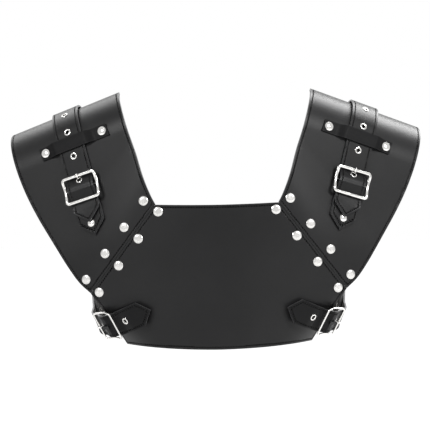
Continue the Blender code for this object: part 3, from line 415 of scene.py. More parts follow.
def strap_height(t, rise_t):
    """The strap's underside: over the bar, down behind it, and up again over the chape's rivet.

    A shoulder strap, told by its own rise_t, also stands off the ridge of the shoulder a little.
    """
    if t >= 0:
        arch = RIDGE_ARCH * eased((t - ARCH_FROM) / ARCH_OVER) if rise_t == SHOULDER_RISE_T else 0
        arch *= 1 - eased((t - LEAVE_T + 2 * ARCH_OVER) / ARCH_OVER)
        return arch + mixed(STRAP_LIFT, CREST, 0.5 + 0.5 * math.cos(math.pi * min(t / STRAP_RUN_IN, 1)))
    low = CHAPE_TOP + REST_GAP
    if t > -FRAME_REACH:
        second = FOLD_MARK * max(1 - ((t + FOLD_RADIUS) / FOLD_RADIUS) ** 2, 0) ** 2
        return second + mixed(low, CREST, 0.5 + 0.5 * math.cos(math.pi * t / FRAME_REACH))
    return mixed(low, TIP_HEIGHT, eased((-t - FRAME_REACH) / (rise_t - FRAME_REACH)))


def fitted(spot, t, across, height):
    """A place beside and above the line. Past the buckle it follows the panel that it lies on."""
    place = spot[0] + spot[1] * across
    middle = (front_base(spot[0].x, spot[0].z).y - spot[0].y) * -spot[3].y
    stand = (front_base(place.x, place.z).y - place.y) * -spot[3].y
    return place + spot[3] * (height - (stand - middle) * eased((-t - FIT_FROM) / FIT_OVER))


def upright(spot, side, height):
    """The matrix that stands a fitting's Z on the line, with its Y along the strap."""
    flip = Vector((side, 1, 1))
    ahead, normal = spot[2] * flip, spot[3] * flip
    turn = Matrix((ahead.cross(normal), ahead, normal)).transposed().to_4x4()
    return Matrix.Translation(placed(spot[0], side) + normal * height) @ turn


print("centre bar stands", round(AXIS_HEIGHT, 4), "over the leather, strap crest", round(CREST, 4))

# %% [markdown]
# ## Shader groups
# Three effects come back in several finishes, so each is a node group with named inputs. The first is the
# leather's grain: fine pores, wrinkles and a slow unevenness. The second works along a cut edge: a darker
# line a few millimetres in, which is painted shade for the stitch groove, and polish on the edge itself. It
# reads a number stored on the mesh, the distance to the edge, so it follows any outline. The third is the
# wear of plated metal.

# %% Helpers for node trees
def socket(tree, name, kind, way="INPUT", value=None):
    made = tree.interface.new_socket(name, in_out=way, socket_type=kind)
    if value is not None:
        made.default_value = value
    return made


def node(tree, kind, **settings):
    made = tree.nodes.new(kind)
    for key, value in settings.items():
        setattr(made, key, value)
    return made


def feed(tree, target, source):
    """Connects an output, or sets a plain value, on an input socket."""
    if isinstance(source, bpy.types.NodeSocket):
        tree.links.new(source, target)
    else:
        target.default_value = source


def maths(tree, operation, *values):
    made = node(tree, "ShaderNodeMath", operation=operation)
    for target, value in zip(made.inputs, values):
        feed(tree, target, value)
    return made.outputs[0]


def tones(tree, share, low, high):
    """A colour between two, by a share."""
    made = node(tree, "ShaderNodeMix", data_type="RGBA")
    feed(tree, made.inputs["Factor"], share)
    feed(tree, made.inputs[6], low)
    feed(tree, made.inputs[7], high)
    return made.outputs[2]


def ramp(tree, value, start, stop, low=0.0, high=1.0):
    """A value eased from low to high as another goes from start to stop."""
    made = node(tree, "ShaderNodeMapRange", interpolation_type="SMOOTHSTEP")
    for key, number in (("Value", value), ("From Min", start), ("From Max", stop), ("To Min", low),
                        ("To Max", high)):
        feed(tree, made.inputs[key], number)
    return made.outputs["Result"]


def noise(tree, place, scale, detail, roughness=0.5):
    made = node(tree, "ShaderNodeTexNoise")
    for key, value in (("Vector", place), ("Scale", scale), ("Detail", detail), ("Roughness", roughness)):
        feed(tree, made.inputs[key], value)
    return made.outputs["Fac"]


# %% Leather grain
PORE_WALL = 0.22
WRINKLE_SCALE = 0.35
PORE_SHARE = 0.35


def grain_group():
    tree = bpy.data.node_groups.new("Leather grain", "ShaderNodeTree")
    socket(tree, "Place", "NodeSocketVector")
    socket(tree, "Pores per metre", "NodeSocketFloat", value=900)
    socket(tree, "Unevenness per metre", "NodeSocketFloat", value=14)
    for name in ("Height", "Shine change", "Tone"):
        socket(tree, name, "NodeSocketFloat", "OUTPUT")
    given = node(tree, "NodeGroupInput").outputs
    result = node(tree, "NodeGroupOutput").inputs
    cells = node(tree, "ShaderNodeTexVoronoi", feature="DISTANCE_TO_EDGE")
    feed(tree, cells.inputs["Vector"], given["Place"])
    feed(tree, cells.inputs["Scale"], given["Pores per metre"])
    pores = ramp(tree, cells.outputs["Distance"], 0.0, PORE_WALL)
    wrinkle_scale = maths(tree, "MULTIPLY", given["Pores per metre"], WRINKLE_SCALE)
    wrinkles = noise(tree, given["Place"], wrinkle_scale, 3)
    slow = noise(tree, given["Place"], given["Unevenness per metre"], 2)
    pressed = maths(tree, "MULTIPLY", wrinkles, 1 - PORE_SHARE)
    height = maths(tree, "MULTIPLY_ADD", pores, PORE_SHARE, pressed)
    feed(tree, result["Height"], height)
    feed(tree, result["Shine change"], maths(tree, "SUBTRACT", slow, 0.5))
    feed(tree, result["Tone"], maths(tree, "MULTIPLY", slow, pores))
    return tree


# %% The dark line and the polish along an edge
EDGE_ATTRIBUTE = "edge_distance"


def edge_group():
    tree = bpy.data.node_groups.new("Leather edge polish and groove shade", "ShaderNodeTree")
    socket(tree, "Edge distance", "NodeSocketFloat")
    socket(tree, "Groove place", "NodeSocketFloat", value=0.003)
    socket(tree, "Groove half width", "NodeSocketFloat", value=0.0007)
    socket(tree, "Polish width", "NodeSocketFloat", value=0.0012)
    for name in ("Groove", "Polish", "Height"):
        socket(tree, name, "NodeSocketFloat", "OUTPUT")
    given = node(tree, "NodeGroupInput").outputs
    result = node(tree, "NodeGroupOutput").inputs
    off = maths(tree, "ABSOLUTE", maths(tree, "SUBTRACT", given["Edge distance"], given["Groove place"]))
    # The Groove mask marks where the leather finish paints shade into the stitch groove.
    groove = maths(tree, "SUBTRACT", 1.0, ramp(tree, off, 0.0, given["Groove half width"]))
    polish = maths(tree, "SUBTRACT", 1.0, ramp(tree, given["Edge distance"], 0.0, given["Polish width"]))
    rolled = ramp(tree, given["Edge distance"], 0.0, given["Groove place"])
    feed(tree, result["Groove"], groove)
    feed(tree, result["Polish"], polish)
    feed(tree, result["Height"], maths(tree, "SUBTRACT", maths(tree, "MULTIPLY", rolled, 0.5), groove))
    return tree


# %% Plating wear
SCUFF_FROM, SCUFF_FULL = 0.45, 0.75
DENT_SCALE = 0.3


def plating_group():
    tree = bpy.data.node_groups.new("Plating wear", "ShaderNodeTree")
    socket(tree, "Place", "NodeSocketVector")
    socket(tree, "Scuffs per metre", "NodeSocketFloat", value=260)
    for name in ("Scuff", "Height"):
        socket(tree, name, "NodeSocketFloat", "OUTPUT")
    given = node(tree, "NodeGroupInput").outputs
    result = node(tree, "NodeGroupOutput").inputs
    scuffs = noise(tree, given["Place"], given["Scuffs per metre"], 4, 0.7)
    feed(tree, result["Scuff"], ramp(tree, scuffs, SCUFF_FROM, SCUFF_FULL))
    dents_scale = maths(tree, "MULTIPLY", given["Scuffs per metre"], DENT_SCALE)
    feed(tree, result["Height"], noise(tree, given["Place"], dents_scale, 1))
    return tree


GRAIN, EDGE, PLATING = grain_group(), edge_group(), plating_group()
print("groups", GRAIN.name, EDGE.name, PLATING.name)

# %% [markdown]
# ## Finishes
# The panels are smooth black leather with a soft shine. The shoulder straps are nearly the same and the
# keepers are duller. The side straps are duller too, and their weaker reflection is painted shade for the
# darker surroundings that they face. Their colour is almost nothing: what the eye sees on black leather is
# the light it reflects, so the roughness and the specular level do most of the work. The cut edges are
# painted a dark grey, paler than the leather, which partly stands in as a painted highlight along them,
# and the inside is the bare flesh side with its nap. The channel of a stitch line is painted shade: it has
# no shine at all, so that it reads as a dark line even where the leather round it is bright.

# %% Leather finishes
def finish(name):
    made = bpy.data.materials.new(name)
    made.use_nodes = True
    return made, made.node_tree, made.node_tree.nodes["Principled BSDF"]


def object_place(tree):
    return node(tree, "ShaderNodeTexCoord").outputs["Object"]


def bumped(tree, shader, height, strength, distance):
    made = node(tree, "ShaderNodeBump")
    feed(tree, made.inputs["Height"], height)
    made.inputs["Strength"].default_value = strength
    made.inputs["Distance"].default_value = distance
    tree.links.new(made.outputs["Normal"], shader.inputs["Normal"])


STITCH_INSET = 0.0030
NO_GROOVE = -1.0
GROOVE_PAINTED_SHADE = 0.2
GROOVE_DULL = 0.3
WEAR_SHARE = 0.5
SHINE_SPREAD = 0.16
POLISH_SHINE = 0.10
EDGE_ROLL = 4.0
GRAIN_STRENGTH, GRAIN_DEPTH = 0.35, 0.00012


def leather_finish(name, colour, worn, roughness, groove_place, specular):
    """Grained leather, rubbed paler on its high places and its edge, with painted shade in its stitch groove.
    """
    made, tree, shader = finish(name)
    grain = node(tree, "ShaderNodeGroup", node_tree=GRAIN)
    feed(tree, grain.inputs["Place"], object_place(tree))
    edge = node(tree, "ShaderNodeGroup", node_tree=EDGE)
    distance = node(tree, "ShaderNodeAttribute", attribute_name=EDGE_ATTRIBUTE)
    feed(tree, edge.inputs["Edge distance"], distance.outputs["Fac"])
    edge.inputs["Groove place"].default_value = groove_place
    high = maths(tree, "MULTIPLY", grain.outputs["Tone"], WEAR_SHARE)
    tone = tones(tree, high, (*colour, 1), (*worn, 1))
    rubbed = tones(tree, maths(tree, "MULTIPLY", edge.outputs["Polish"], WEAR_SHARE), tone, (*worn, 1))
    # Painted shade: the colour in the stitch groove is darkened to stand in for the shade in the channel.
    dark = tuple(c * GROOVE_PAINTED_SHADE for c in colour)
    feed(tree, shader.inputs["Base Color"], tones(tree, edge.outputs["Groove"], rubbed, (*dark, 1)))
    shine = maths(tree, "MULTIPLY_ADD", grain.outputs["Shine change"], SHINE_SPREAD, roughness)
    smoother = maths(tree, "MULTIPLY_ADD", edge.outputs["Polish"], -POLISH_SHINE, shine)
    dulled = maths(tree, "MULTIPLY_ADD", edge.outputs["Groove"], GROOVE_DULL, smoother)
    feed(tree, shader.inputs["Roughness"], dulled)
    shader.inputs["Specular IOR Level"].default_value = specular
    height = maths(tree, "MULTIPLY_ADD", edge.outputs["Height"], EDGE_ROLL, grain.outputs["Height"])
    bumped(tree, shader, height, GRAIN_STRENGTH, GRAIN_DEPTH)
    return made


BLACK, RUBBED = (0.0045, 0.0045, 0.0047), (0.014, 0.014, 0.0144)
panel_leather = leather_finish("panel_leather", BLACK, RUBBED, 0.39, STITCH_INSET, 0.17)
strap_leather = leather_finish("strap_leather", BLACK, RUBBED, 0.37, STITCH_INSET, 0.15)
# The side straps' leather has a much lower specular level: painted shade for the darker surroundings that
# they reflect.
side_leather_painted_shade = leather_finish("side_leather_painted_shade", BLACK, RUBBED, 0.42, STITCH_INSET, 0.07)
plain_leather = leather_finish("keeper_leather", BLACK, RUBBED, 0.45, NO_GROOVE, 0.05)

# %% Edge, flesh side and matt finishes
# The edge paint is a dark grey, paler than the leather: partly the paint's own tone, partly a painted
# highlight so that cut edges read as light lines.
PAINT_WITH_HIGHLIGHT_LOW, PAINT_WITH_HIGHLIGHT_HIGH = (0.03, 0.03, 0.031), (0.075, 0.075, 0.076)
PAINT_LUMPS = 500
PAINT_ROUGHNESS, PAINT_SPREAD = 0.3, 0.2
PAINT_STRENGTH, PAINT_DEPTH = 0.3, 0.0001
NAP_LOW, NAP_HIGH = (0.012, 0.0115, 0.011), (0.055, 0.052, 0.049)
NAP_HAIRS, NAP_PATCHES = 1500, 60
NAP_ROUGHNESS, NAP_SPREAD = 0.8, 0.15
NAP_SPECULAR = 0.15
NAP_STRENGTH, NAP_DEPTH = 0.6, 0.0002
FUZZ_HAIRS = 1800
FUZZ_SPREAD = 0.2
FUZZ_STRENGTH, FUZZ_DEPTH = 0.3, 0.0001


def cut_edge_finish():
    made, tree, shader = finish("edge_paint_with_highlight")
    grain = node(tree, "ShaderNodeGroup", node_tree=GRAIN)
    feed(tree, grain.inputs["Place"], object_place(tree))
    grain.inputs["Pores per metre"].default_value = PAINT_LUMPS
    tone = tones(tree, grain.outputs["Tone"], (*PAINT_WITH_HIGHLIGHT_LOW, 1), (*PAINT_WITH_HIGHLIGHT_HIGH, 1))
    feed(tree, shader.inputs["Base Color"], tone)
    shine = maths(tree, "MULTIPLY_ADD", grain.outputs["Shine change"], PAINT_SPREAD, PAINT_ROUGHNESS)
    feed(tree, shader.inputs["Roughness"], shine)
    bumped(tree, shader, grain.outputs["Height"], PAINT_STRENGTH, PAINT_DEPTH)
    return made


def flesh_finish():
    """The napped inside of the leather, matt and a little brown."""
    made, tree, shader = finish("flesh_side")
    place = object_place(tree)
    fuzz = noise(tree, place, NAP_HAIRS, 4, 0.7)
    nap = maths(tree, "MULTIPLY", fuzz, noise(tree, place, NAP_PATCHES, 3))
    feed(tree, shader.inputs["Base Color"], tones(tree, nap, (*NAP_LOW, 1), (*NAP_HIGH, 1)))
    feed(tree, shader.inputs["Roughness"], maths(tree, "MULTIPLY_ADD", fuzz, NAP_SPREAD, NAP_ROUGHNESS))
    shader.inputs["Specular IOR Level"].default_value = NAP_SPECULAR
    bumped(tree, shader, fuzz, NAP_STRENGTH, NAP_DEPTH)
    return made


def matt_finish(name, low, high, roughness, specular):
    """Leather or thread with hardly any shine."""
    made, tree, shader = finish(name)
    fuzz = noise(tree, object_place(tree), FUZZ_HAIRS, 3)
    feed(tree, shader.inputs["Base Color"], tones(tree, fuzz, (low, low, low, 1), (high, high, high, 1)))
    feed(tree, shader.inputs["Roughness"], maths(tree, "MULTIPLY_ADD", fuzz, FUZZ_SPREAD, roughness))
    shader.inputs["Specular IOR Level"].default_value = specular
    bumped(tree, shader, fuzz, FUZZ_STRENGTH, FUZZ_DEPTH)
    return made


edge_paint_with_highlight, flesh_side = cut_edge_finish(), flesh_finish()
# The stitch channel's finish is painted shade: black with no shine, so the channel reads dark under any
# light.
stitch_channel_painted_shade = matt_finish("stitch_channel_painted_shade", 0.0008, 0.0016, 0.8, 0.0)
# The keeper's rim is made matt and nearly black as painted shade, for the shadow under the keeper's lower
# edge.
matt_edge_painted_shade = matt_finish("matt_edge_painted_shade", 0.002, 0.004, 0.75, 0.05)

# %% Metal and thread finishes
SCUFF_TONE = 0.86
SCUFF_DULL = 0.12
DENT_STRENGTH, DENT_DEPTH = 0.12, 0.0003


def metal_finish(name, colour, roughness):
    made, tree, shader = finish(name)
    wear = node(tree, "ShaderNodeGroup", node_tree=PLATING)
    feed(tree, wear.inputs["Place"], object_place(tree))
    dull = tuple(c * SCUFF_TONE for c in colour)
    feed(tree, shader.inputs["Base Color"], tones(tree, wear.outputs["Scuff"], (*colour, 1), (*dull, 1)))
    rougher = maths(tree, "MULTIPLY_ADD", wear.outputs["Scuff"], SCUFF_DULL, roughness)
    feed(tree, shader.inputs["Roughness"], rougher)
    shader.inputs["Metallic"].default_value = 1
    bumped(tree, shader, wear.outputs["Height"], DENT_STRENGTH, DENT_DEPTH)
    return made


nickel = metal_finish("nickel_plate", (0.62, 0.612, 0.596), 0.12)
rivet_nickel = metal_finish("rivet_nickel", (0.52, 0.513, 0.5), 0.26)
thread = matt_finish("waxed_thread", 0.006, 0.022, 0.5, 0.2)
print("finishes", len(bpy.data.materials))

# %% [markdown]
# ## Cut leather from a grid
# Every leather piece is made the same way. A grid of places on its outer face becomes a sheet, and each
# point stores its distance to the outline. Solidify gives the leather its thickness, with the rim in the
# edge paint, which also carries a painted highlight, and the back in the flesh side, and Bevel rounds the
# two long corners of the cut.
#
# The channel for the stitches is real: the faces near it are split until they are small, and their points
# are pressed in by a rounded rule. A bump map would only shade it. The faces in its middle get a black,
# unshining finish, which is painted shade. The stitches need a path in its middle, and that path is a
# level line of the stored number, found triangle by triangle.

# %% Helpers for leather sheets
PANEL_THICK = 0.0026
EDGE_ROUND = 0.0007
FAR_FROM_EDGE = 0.03
GROOVE_HALF = 0.0009
GROOVE_DEPTH = 0.0005
CHANNEL_HALF = 0.0007
GROOVE_DETAIL = 0.0006
GROOVE_SPLITS = 3
STITCH_RISE = 0.0001
SHORTEST_RUN = 1e-14
SKIN, RIM, FLESH, CHANNEL = range(4)
stitch_paths = []


def outline_of(rows, columns):
    """The grid's border, once round."""
    top = list(range(columns))
    right = [r * columns + columns - 1 for r in range(1, rows)]
    bottom = [(rows - 1) * columns + c for c in range(columns - 2, -1, -1)]
    left = [r * columns for r in range(rows - 2, 0, -1)]
    return top + right + bottom + left


def edge_distances(points, starts):
    """Each point's distance to a closed outline."""
    ends = np.roll(starts, -1, axis=0)
    runs = ends - starts
    lengths = np.maximum((runs ** 2).sum(axis=1), SHORTEST_RUN)
    best = np.full(len(points), FAR_FROM_EDGE)
    for start, run, length in zip(starts, runs, lengths):
        share = np.clip(((points - start) @ run) / length, 0, 1)
        best = np.minimum(best, np.linalg.norm(points - start - share[:, None] * run, axis=1))
    return best


def sheet_mesh(name, grid, outer):
    """The outer face of a leather piece, turned towards outer."""
    rows, columns = len(grid), len(grid[0])
    points = np.array([tuple(p) for row in grid for p in row])
    quads = [(r * columns + c, r * columns + c + 1, (r + 1) * columns + c + 1, (r + 1) * columns + c)
             for r in range(rows - 1) for c in range(columns - 1)]
    middle = quads[(rows - 1) // 2 * (columns - 1) + (columns - 1) // 2]
    normal = np.cross(points[middle[1]] - points[middle[0]], points[middle[3]] - points[middle[0]])
    if normal @ np.array(outer) < 0:
        quads = [tuple(reversed(q)) for q in quads]
    mesh = bpy.data.meshes.new(name)
    mesh.from_pydata([tuple(p) for p in points], [], quads)
    border = points[outline_of(rows, columns)]
    far = mesh.attributes.new(EDGE_ATTRIBUTE, "FLOAT", "POINT")
    far.data.foreach_set("value", edge_distances(points, border))
    return mesh, border


def channel_depth(off):
    """How deep the channel is pressed, off its middle."""
    return GROOVE_DEPTH * (0.5 + 0.5 * math.cos(math.pi * off / GROOVE_HALF))


def press_groove(mesh, border):
    """Splits the outer faces along the stitch line, presses a round channel into them and gives the faces in
    its middle the painted shade finish.
    """
    bm = bmesh.new()
    bm.from_mesh(mesh)
    far = bm.verts.layers.float[EDGE_ATTRIBUTE]
    for _ in range(GROOVE_SPLITS):
        crossed = set()
        for face in bm.faces:
            offs = [v[far] - STITCH_INSET for v in face.verts]
            if face.material_index == SKIN and min(offs) < GROOVE_HALF and max(offs) > -GROOVE_HALF:
                crossed.update(edge for edge in face.edges if edge.calc_length() > GROOVE_DETAIL)
        count = len(bm.verts)
        bmesh.ops.subdivide_edges(bm, edges=list(crossed), cuts=1, use_grid_fill=True)
        bm.verts.ensure_lookup_table()
        fresh = bm.verts[count:]
        places = np.array([tuple(v.co) for v in fresh])
        for vert, distance in zip(fresh, edge_distances(places, border)):
            vert[far] = distance
    bm.normal_update()
    pressed = {vert for face in bm.faces if face.material_index == SKIN for vert in face.verts}
    moves = []
    for vert in pressed:
        off = abs(vert[far] - STITCH_INSET)
        if off < GROOVE_HALF:
            moves.append((vert, vert.normal * channel_depth(off)))
    for vert, move in moves:
        vert.co -= move
    for face in bm.faces:
        # Faces in the middle of the channel take the painted shade finish.
        off = sum(abs(v[far] - STITCH_INSET) for v in face.verts) / len(face.verts)
        if face.material_index == SKIN and off < CHANNEL_HALF:
            face.material_index = CHANNEL
    bm.to_mesh(mesh)
    bm.free()


def level_line(mesh, distance, rise):
    """The places where the edge distance has one value, as points and edges, a little above the face."""
    bm = bmesh.new()
    bm.from_mesh(mesh)
    far = bm.verts.layers.float[EDGE_ATTRIBUTE]
    crossed = []
    for face in bm.faces:
        offs = [v[far] - distance for v in face.verts]
        if face.material_index in (SKIN, CHANNEL) and min(offs) < 0 <= max(offs):
            crossed.append(face)
    points, edges, made = [], [], {}
    for face in bmesh.ops.triangulate(bm, faces=crossed)["faces"]:
        ends = []
        for edge in face.edges:
            a, b = edge.verts
            if (a[far] < distance) != (b[far] < distance):
                if edge not in made:
                    share = (distance - a[far]) / (b[far] - a[far])
                    made[edge] = len(points)
                    points.append(a.co.lerp(b.co, share) + a.normal.lerp(b.normal, share) * rise)
                ends.append(made[edge])
        if len(ends) == 2:
            edges.append(ends)
    bm.free()
    return points, edges


# %% Helpers for finished pieces
LEATHER_SLOT = "black_leather"
METAL_SLOT = "nickel_fittings"
SHARP_FROM = math.radians(42)
ROUND_SEGMENTS = 3


def in_scene(name, data):
    made = bpy.data.objects.new(name, data)
    bpy.context.scene.collection.objects.link(made)
    return made


def from_bmesh(name, bm, *finishes):
    """An object with the mesh that was built in bm."""
    mesh = bpy.data.meshes.new(name)
    bm.to_mesh(mesh)
    bm.free()
    for finish_used in finishes:
        mesh.materials.append(finish_used)
    return in_scene(name, mesh)


def settle(obj, keep_name):
    """Replaces a live object by the plain mesh that its modifiers make."""
    bpy.context.view_layer.update()
    shown = obj.evaluated_get(bpy.context.evaluated_depsgraph_get())
    mesh = bpy.data.meshes.new_from_object(shown)
    mesh.transform(obj.matrix_world)
    bpy.data.objects.remove(obj, do_unlink=True)
    return in_scene(keep_name, mesh)


def hand_over(piece, body, slot, *replaced):
    """Smooths a piece, hangs it on the empty of the body that it rides on and hides the imported nodes that
    it stands for.
    """
    for polygon in piece.data.polygons:
        polygon.use_smooth = True
    piece.data.set_sharp_from_angle(angle=SHARP_FROM)
    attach(piece, body)
    if replaced:
        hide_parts(*replaced)
    print(piece.name, len(piece.data.polygons), "faces")


def leather_piece(name, grid, outer, thick, skin, replaced, stitched=True, cutters=(), offset=-1, rim=None):
    """A finished piece of leather on the harness."""
    mesh, border = sheet_mesh(name, grid, outer)
    for material in (skin, rim or edge_paint_with_highlight, flesh_side, stitch_channel_painted_shade):
        mesh.materials.append(material)
    obj = in_scene(name + "_live", mesh)
    solid = obj.modifiers.new("Thickness", "SOLIDIFY")
    solid.thickness, solid.offset, solid.use_even_offset = thick, offset, True
    solid.material_offset_rim, solid.material_offset = RIM, FLESH
    solid.bevel_convex = 1
    rounded = obj.modifiers.new("Rounded cut", "BEVEL")
    rounded.width, rounded.segments = EDGE_ROUND, ROUND_SEGMENTS
    rounded.limit_method = "WEIGHT"
    for cutter in cutters:
        hole = obj.modifiers.new(cutter.name, "BOOLEAN")
        hole.operation, hole.solver, hole.object = "DIFFERENCE", "EXACT", cutter
    piece = settle(obj, name)
    for cutter in cutters:
        bpy.data.objects.remove(cutter, do_unlink=True)
    if stitched:
        press_groove(piece.data, border)
        stitch_paths.append(level_line(piece.data, STITCH_INSET, STITCH_RISE))
    hand_over(piece, ROOT, LEATHER_SLOT, *replaced)


# %% [markdown]
# ## The breast panel
# It is one flat cut: a nearly straight neckline, two slanting seams, short sides and a hem like a shallow
# bow. The grid's rows go from that bow up to the neckline and its ends follow the outline, so the edge of
# the mesh is the edge of the leather.

# %% Cut the breast panel
NECKLINE_DIP = 0.0015
HEM_CORNER = Vector((0.1395, 0.0505))
FOOT = Vector((0.1114, 0.0057))
HEM_POWER = 1.7
CHEST_COLUMNS = 110
CHEST_ROW_COUNTS = (20, 8, 46)


def rows_between(points, counts):
    """The right end of each row, in even steps from corner to corner."""
    made = [points[0]]
    for a, b, count in zip(points, points[1:], counts):
        made += [a.lerp(b, (i + 1) / count) for i in range(count)]
    return made


def chest_grid():
    grid = []
    for corner in rows_between([FOOT, HEM_CORNER, SEAM_END, NECK_CORNER], CHEST_ROW_COUNTS):
        up = (corner.y - FOOT.y) / (NECK_CORNER.y - FOOT.y)
        row = []
        for column in range(CHEST_COLUMNS + 1):
            share = 2 * column / CHEST_COLUMNS - 1
            z = corner.y - (1 - abs(share) ** HEM_POWER) * mixed(FOOT.y, NECKLINE_DIP, up)
            row.append(placed(Vector((share * corner.x, chest_depth(share * corner.x, z), z)), 1))
        grid.append(row)
    return grid


leather_piece("breast_panel", chest_grid(), FRONT, PANEL_THICK, panel_leather, ["chest_panel"])

# %% [markdown]
# ## The shoulder panels
# Each one starts behind the shoulder, bends over its ridge and comes down to the slanting seam. Its two
# long edges are not straight: they swing out over the arm and in towards the neck, which the tables give
# as shares of the panel's width.

# %% Cut the shoulder panels
RIDGE_WIDTH = 0.139
OUTER_EDGE = ((0.0, -0.005), (0.14, 0.036), (0.32, 0.06), (0.44, 0.054), (0.56, 0.028), (0.70, -0.02),
              (0.85, -0.077), (0.94, -0.125), (1.0, -0.181))
INNER_EDGE = ((0.0, -1.02), (0.25, -0.995), (0.45, -0.976), (0.62, -0.971), (0.8, -0.9585), (0.94, -0.966),
              (1.0, -0.9765))
REAR_TUCK = 0.05
SEAM_GAP = 0.0006
SHOULDER_COLUMNS, BEND_ROWS, DOWN_ROWS = 48, 60, 56


def smooth_table(table, place):
    """The same table read on a curve through its points, so that the edge has no corners."""
    spots = [p for p, _ in table]
    values = [v for _, v in table]
    slopes = [(b - a) / (q - p) for a, b, p, q in zip(values, values[1:], spots, spots[1:])]
    tangents = [slopes[0]] + [(a + b) / 2 for a, b in zip(slopes, slopes[1:])] + [slopes[-1]]
    for i in range(len(spots) - 1):
        if place <= spots[i + 1] or i == len(spots) - 2:
            width = spots[i + 1] - spots[i]
            q = min((place - spots[i]) / width, 1)
            return hermite(values[i], tangents[i] * width, values[i + 1], tangents[i + 1] * width, q)


def edge_u(table, s, seam_s):
    """Where a long edge of the panel stands. Behind the ridge the inner one is tucked in a little."""
    tuck = REAR_TUCK * max(-s, 0) / BEND_RADIUS if table is INNER_EDGE else 0
    return RIDGE_WIDTH * (smooth_table(table, max(s, 0) / seam_s) + tuck)


def shoulder_grid(side):
    lows = []
    for corner in (NECK_CORNER + SEAM_UP * SEAM_GAP, SEAM_END + SEAM_UP * SEAM_GAP):
        lows.append(arc_of_drop(along_ridge(*corner)[1]))
    grid = []
    for row in range(BEND_ROWS + DOWN_ROWS + 1):
        bend_s = mixed(REAR_S, BEND_END, min(row / BEND_ROWS, 1))
        down = max(row - BEND_ROWS, 0) / DOWN_ROWS
        ends = [mixed(bend_s, low, down) for low in lows]
        inner, outer = edge_u(INNER_EDGE, ends[0], lows[0]), edge_u(OUTER_EDGE, ends[1], lows[1])
        shares = [column / SHOULDER_COLUMNS for column in range(SHOULDER_COLUMNS + 1)]
        grid.append([placed(shoulder_base(mixed(*ends, q), mixed(inner, outer, q)), side) for q in shares])
    return grid


for word, side in SIDES.items():
    leather_piece(f"shoulder_leather_{word}", shoulder_grid(side), FRONT, PANEL_THICK, panel_leather,
                  [f"shoulder_panel_{word}"])

# %% [markdown]
# ## Backing strips and the back panel
# Behind each seam lies a plain strip that both rows of rivets go through. The back is a single panel: its
# top edge dips between two arms, and its ends run forward under the arms as wings.

# %% Cut the backing strips
BACKING_THICK = 0.0022
BACKING_GAP = 0.0005
BACKING_TO_CHEST = 0.014
BACKING_TO_SHOULDER = 0.0205
BACKING_INSET = 0.002
BACKING_ROWS, BACKING_COLUMNS = 40, 14


def backing_grid(side):
    grid = []
    for row in range(BACKING_ROWS + 1):
        along = mixed(BACKING_INSET, SEAM_RUN.length - 2 * BACKING_INSET, row / BACKING_ROWS)
        places = []
        for column in range(BACKING_COLUMNS + 1):
            offset = mixed(-BACKING_TO_CHEST, BACKING_TO_SHOULDER, column / BACKING_COLUMNS)
            spot = NECK_CORNER + SEAM_ALONG * along + SEAM_UP * offset
            behind = front_normal(*spot) * (PANEL_THICK + BACKING_GAP)
            places.append(placed(front_base(*spot) - behind, side))
        grid.append(places)
    return grid


for word, side in SIDES.items():
    leather_piece(f"seam_backing_{word}", backing_grid(side), FRONT, BACKING_THICK, plain_leather,
                  [f"seam_strip_{word}"], stitched=False)

# %% Cut the back panel
BACK_TOP = ((0.0, 0.79), (0.26, 0.82), (0.45, 1.0), (0.61, 1.0), (1.0, 0.5), (2.0, 0.36))
BACK_TOP_Z = 0.208
BACK_HEM_Z = 0.009
WING_HEM_Z = 0.021
BACK_TURNS, WING_TURNS, BACK_ROWS = 66, 18, 44


def back_grid():
    turns = [i / BACK_TURNS for i in range(BACK_TURNS + 1)]
    turns += [1 + (i + 1) / WING_TURNS for i in range(WING_TURNS)]
    grid = []
    for row in range(BACK_ROWS + 1):
        half = []
        for turn in turns:
            high = BACK_TOP_Z * from_table(BACK_TOP, turn)
            low = mixed(BACK_HEM_Z, WING_HEM_Z, turn / 2)
            half.append(back_base(turn, mixed(low, high, row / BACK_ROWS)))
        grid.append([placed(p, -1) for p in reversed(half)] + [placed(p, 1) for p in half[1:]])
    return grid


leather_piece("back_leather", back_grid(), REAR, PANEL_THICK, panel_leather, ["back_panel"])

# %% [markdown]
# ## Straps
# A strap is a ribbon with a pointed end. Near the buckle it rises over the centre bar, and its tip lies
# on the panel or the chape. Holes are cut for the eyelets with round cutters that stand square to the
# strap where it slopes.

# %% Helpers for straps
EYELET_PITCH = 0.0302
PRONG_EYELET_T = 0.0098
SIDE_EYELET_T = 0.0275
HOLE_RADIUS = 0.00325
HOLE_REACH = 0.006
HOLE_SIDES = 32
STRAP_COLUMNS = 14
ARM_OVERLAP = 0.046
WING_RUN = 0.046
LINES = {"shoulder": shoulder_line, "side": side_line}
END_T = {"shoulder": LEAVE_T + BRIDGE_LENGTH + ARM_OVERLAP, "side": SIDE_FLAT + WING_BRIDGE + WING_RUN}
eyelet_seats = []


def steps(low, high, step):
    """Even places from low to high, about a step apart."""
    count = max(round((high - low) / step), 1)
    return [mixed(low, high, i / count) for i in range(count + 1)]


def pointed(t, start, tip, share):
    """Where a strip's point stands along it, so that its first end comes to a point in the middle."""
    past = t - start
    return start + max(past, tip * abs(share) + past / 3)


def strap_grid(line, ts, rise_t, width, side, tip):
    grid = []
    for t in ts:
        row = []
        for column in range(STRAP_COLUMNS + 1):
            share = 2 * column / STRAP_COLUMNS - 1
            at = pointed(t, ts[0], tip, share)
            place = fitted(line(at), at, share * width / 2, strap_height(t, rise_t) + STRAP_THICK)
            row.append(placed(place, side))
        grid.append(row)
    return grid


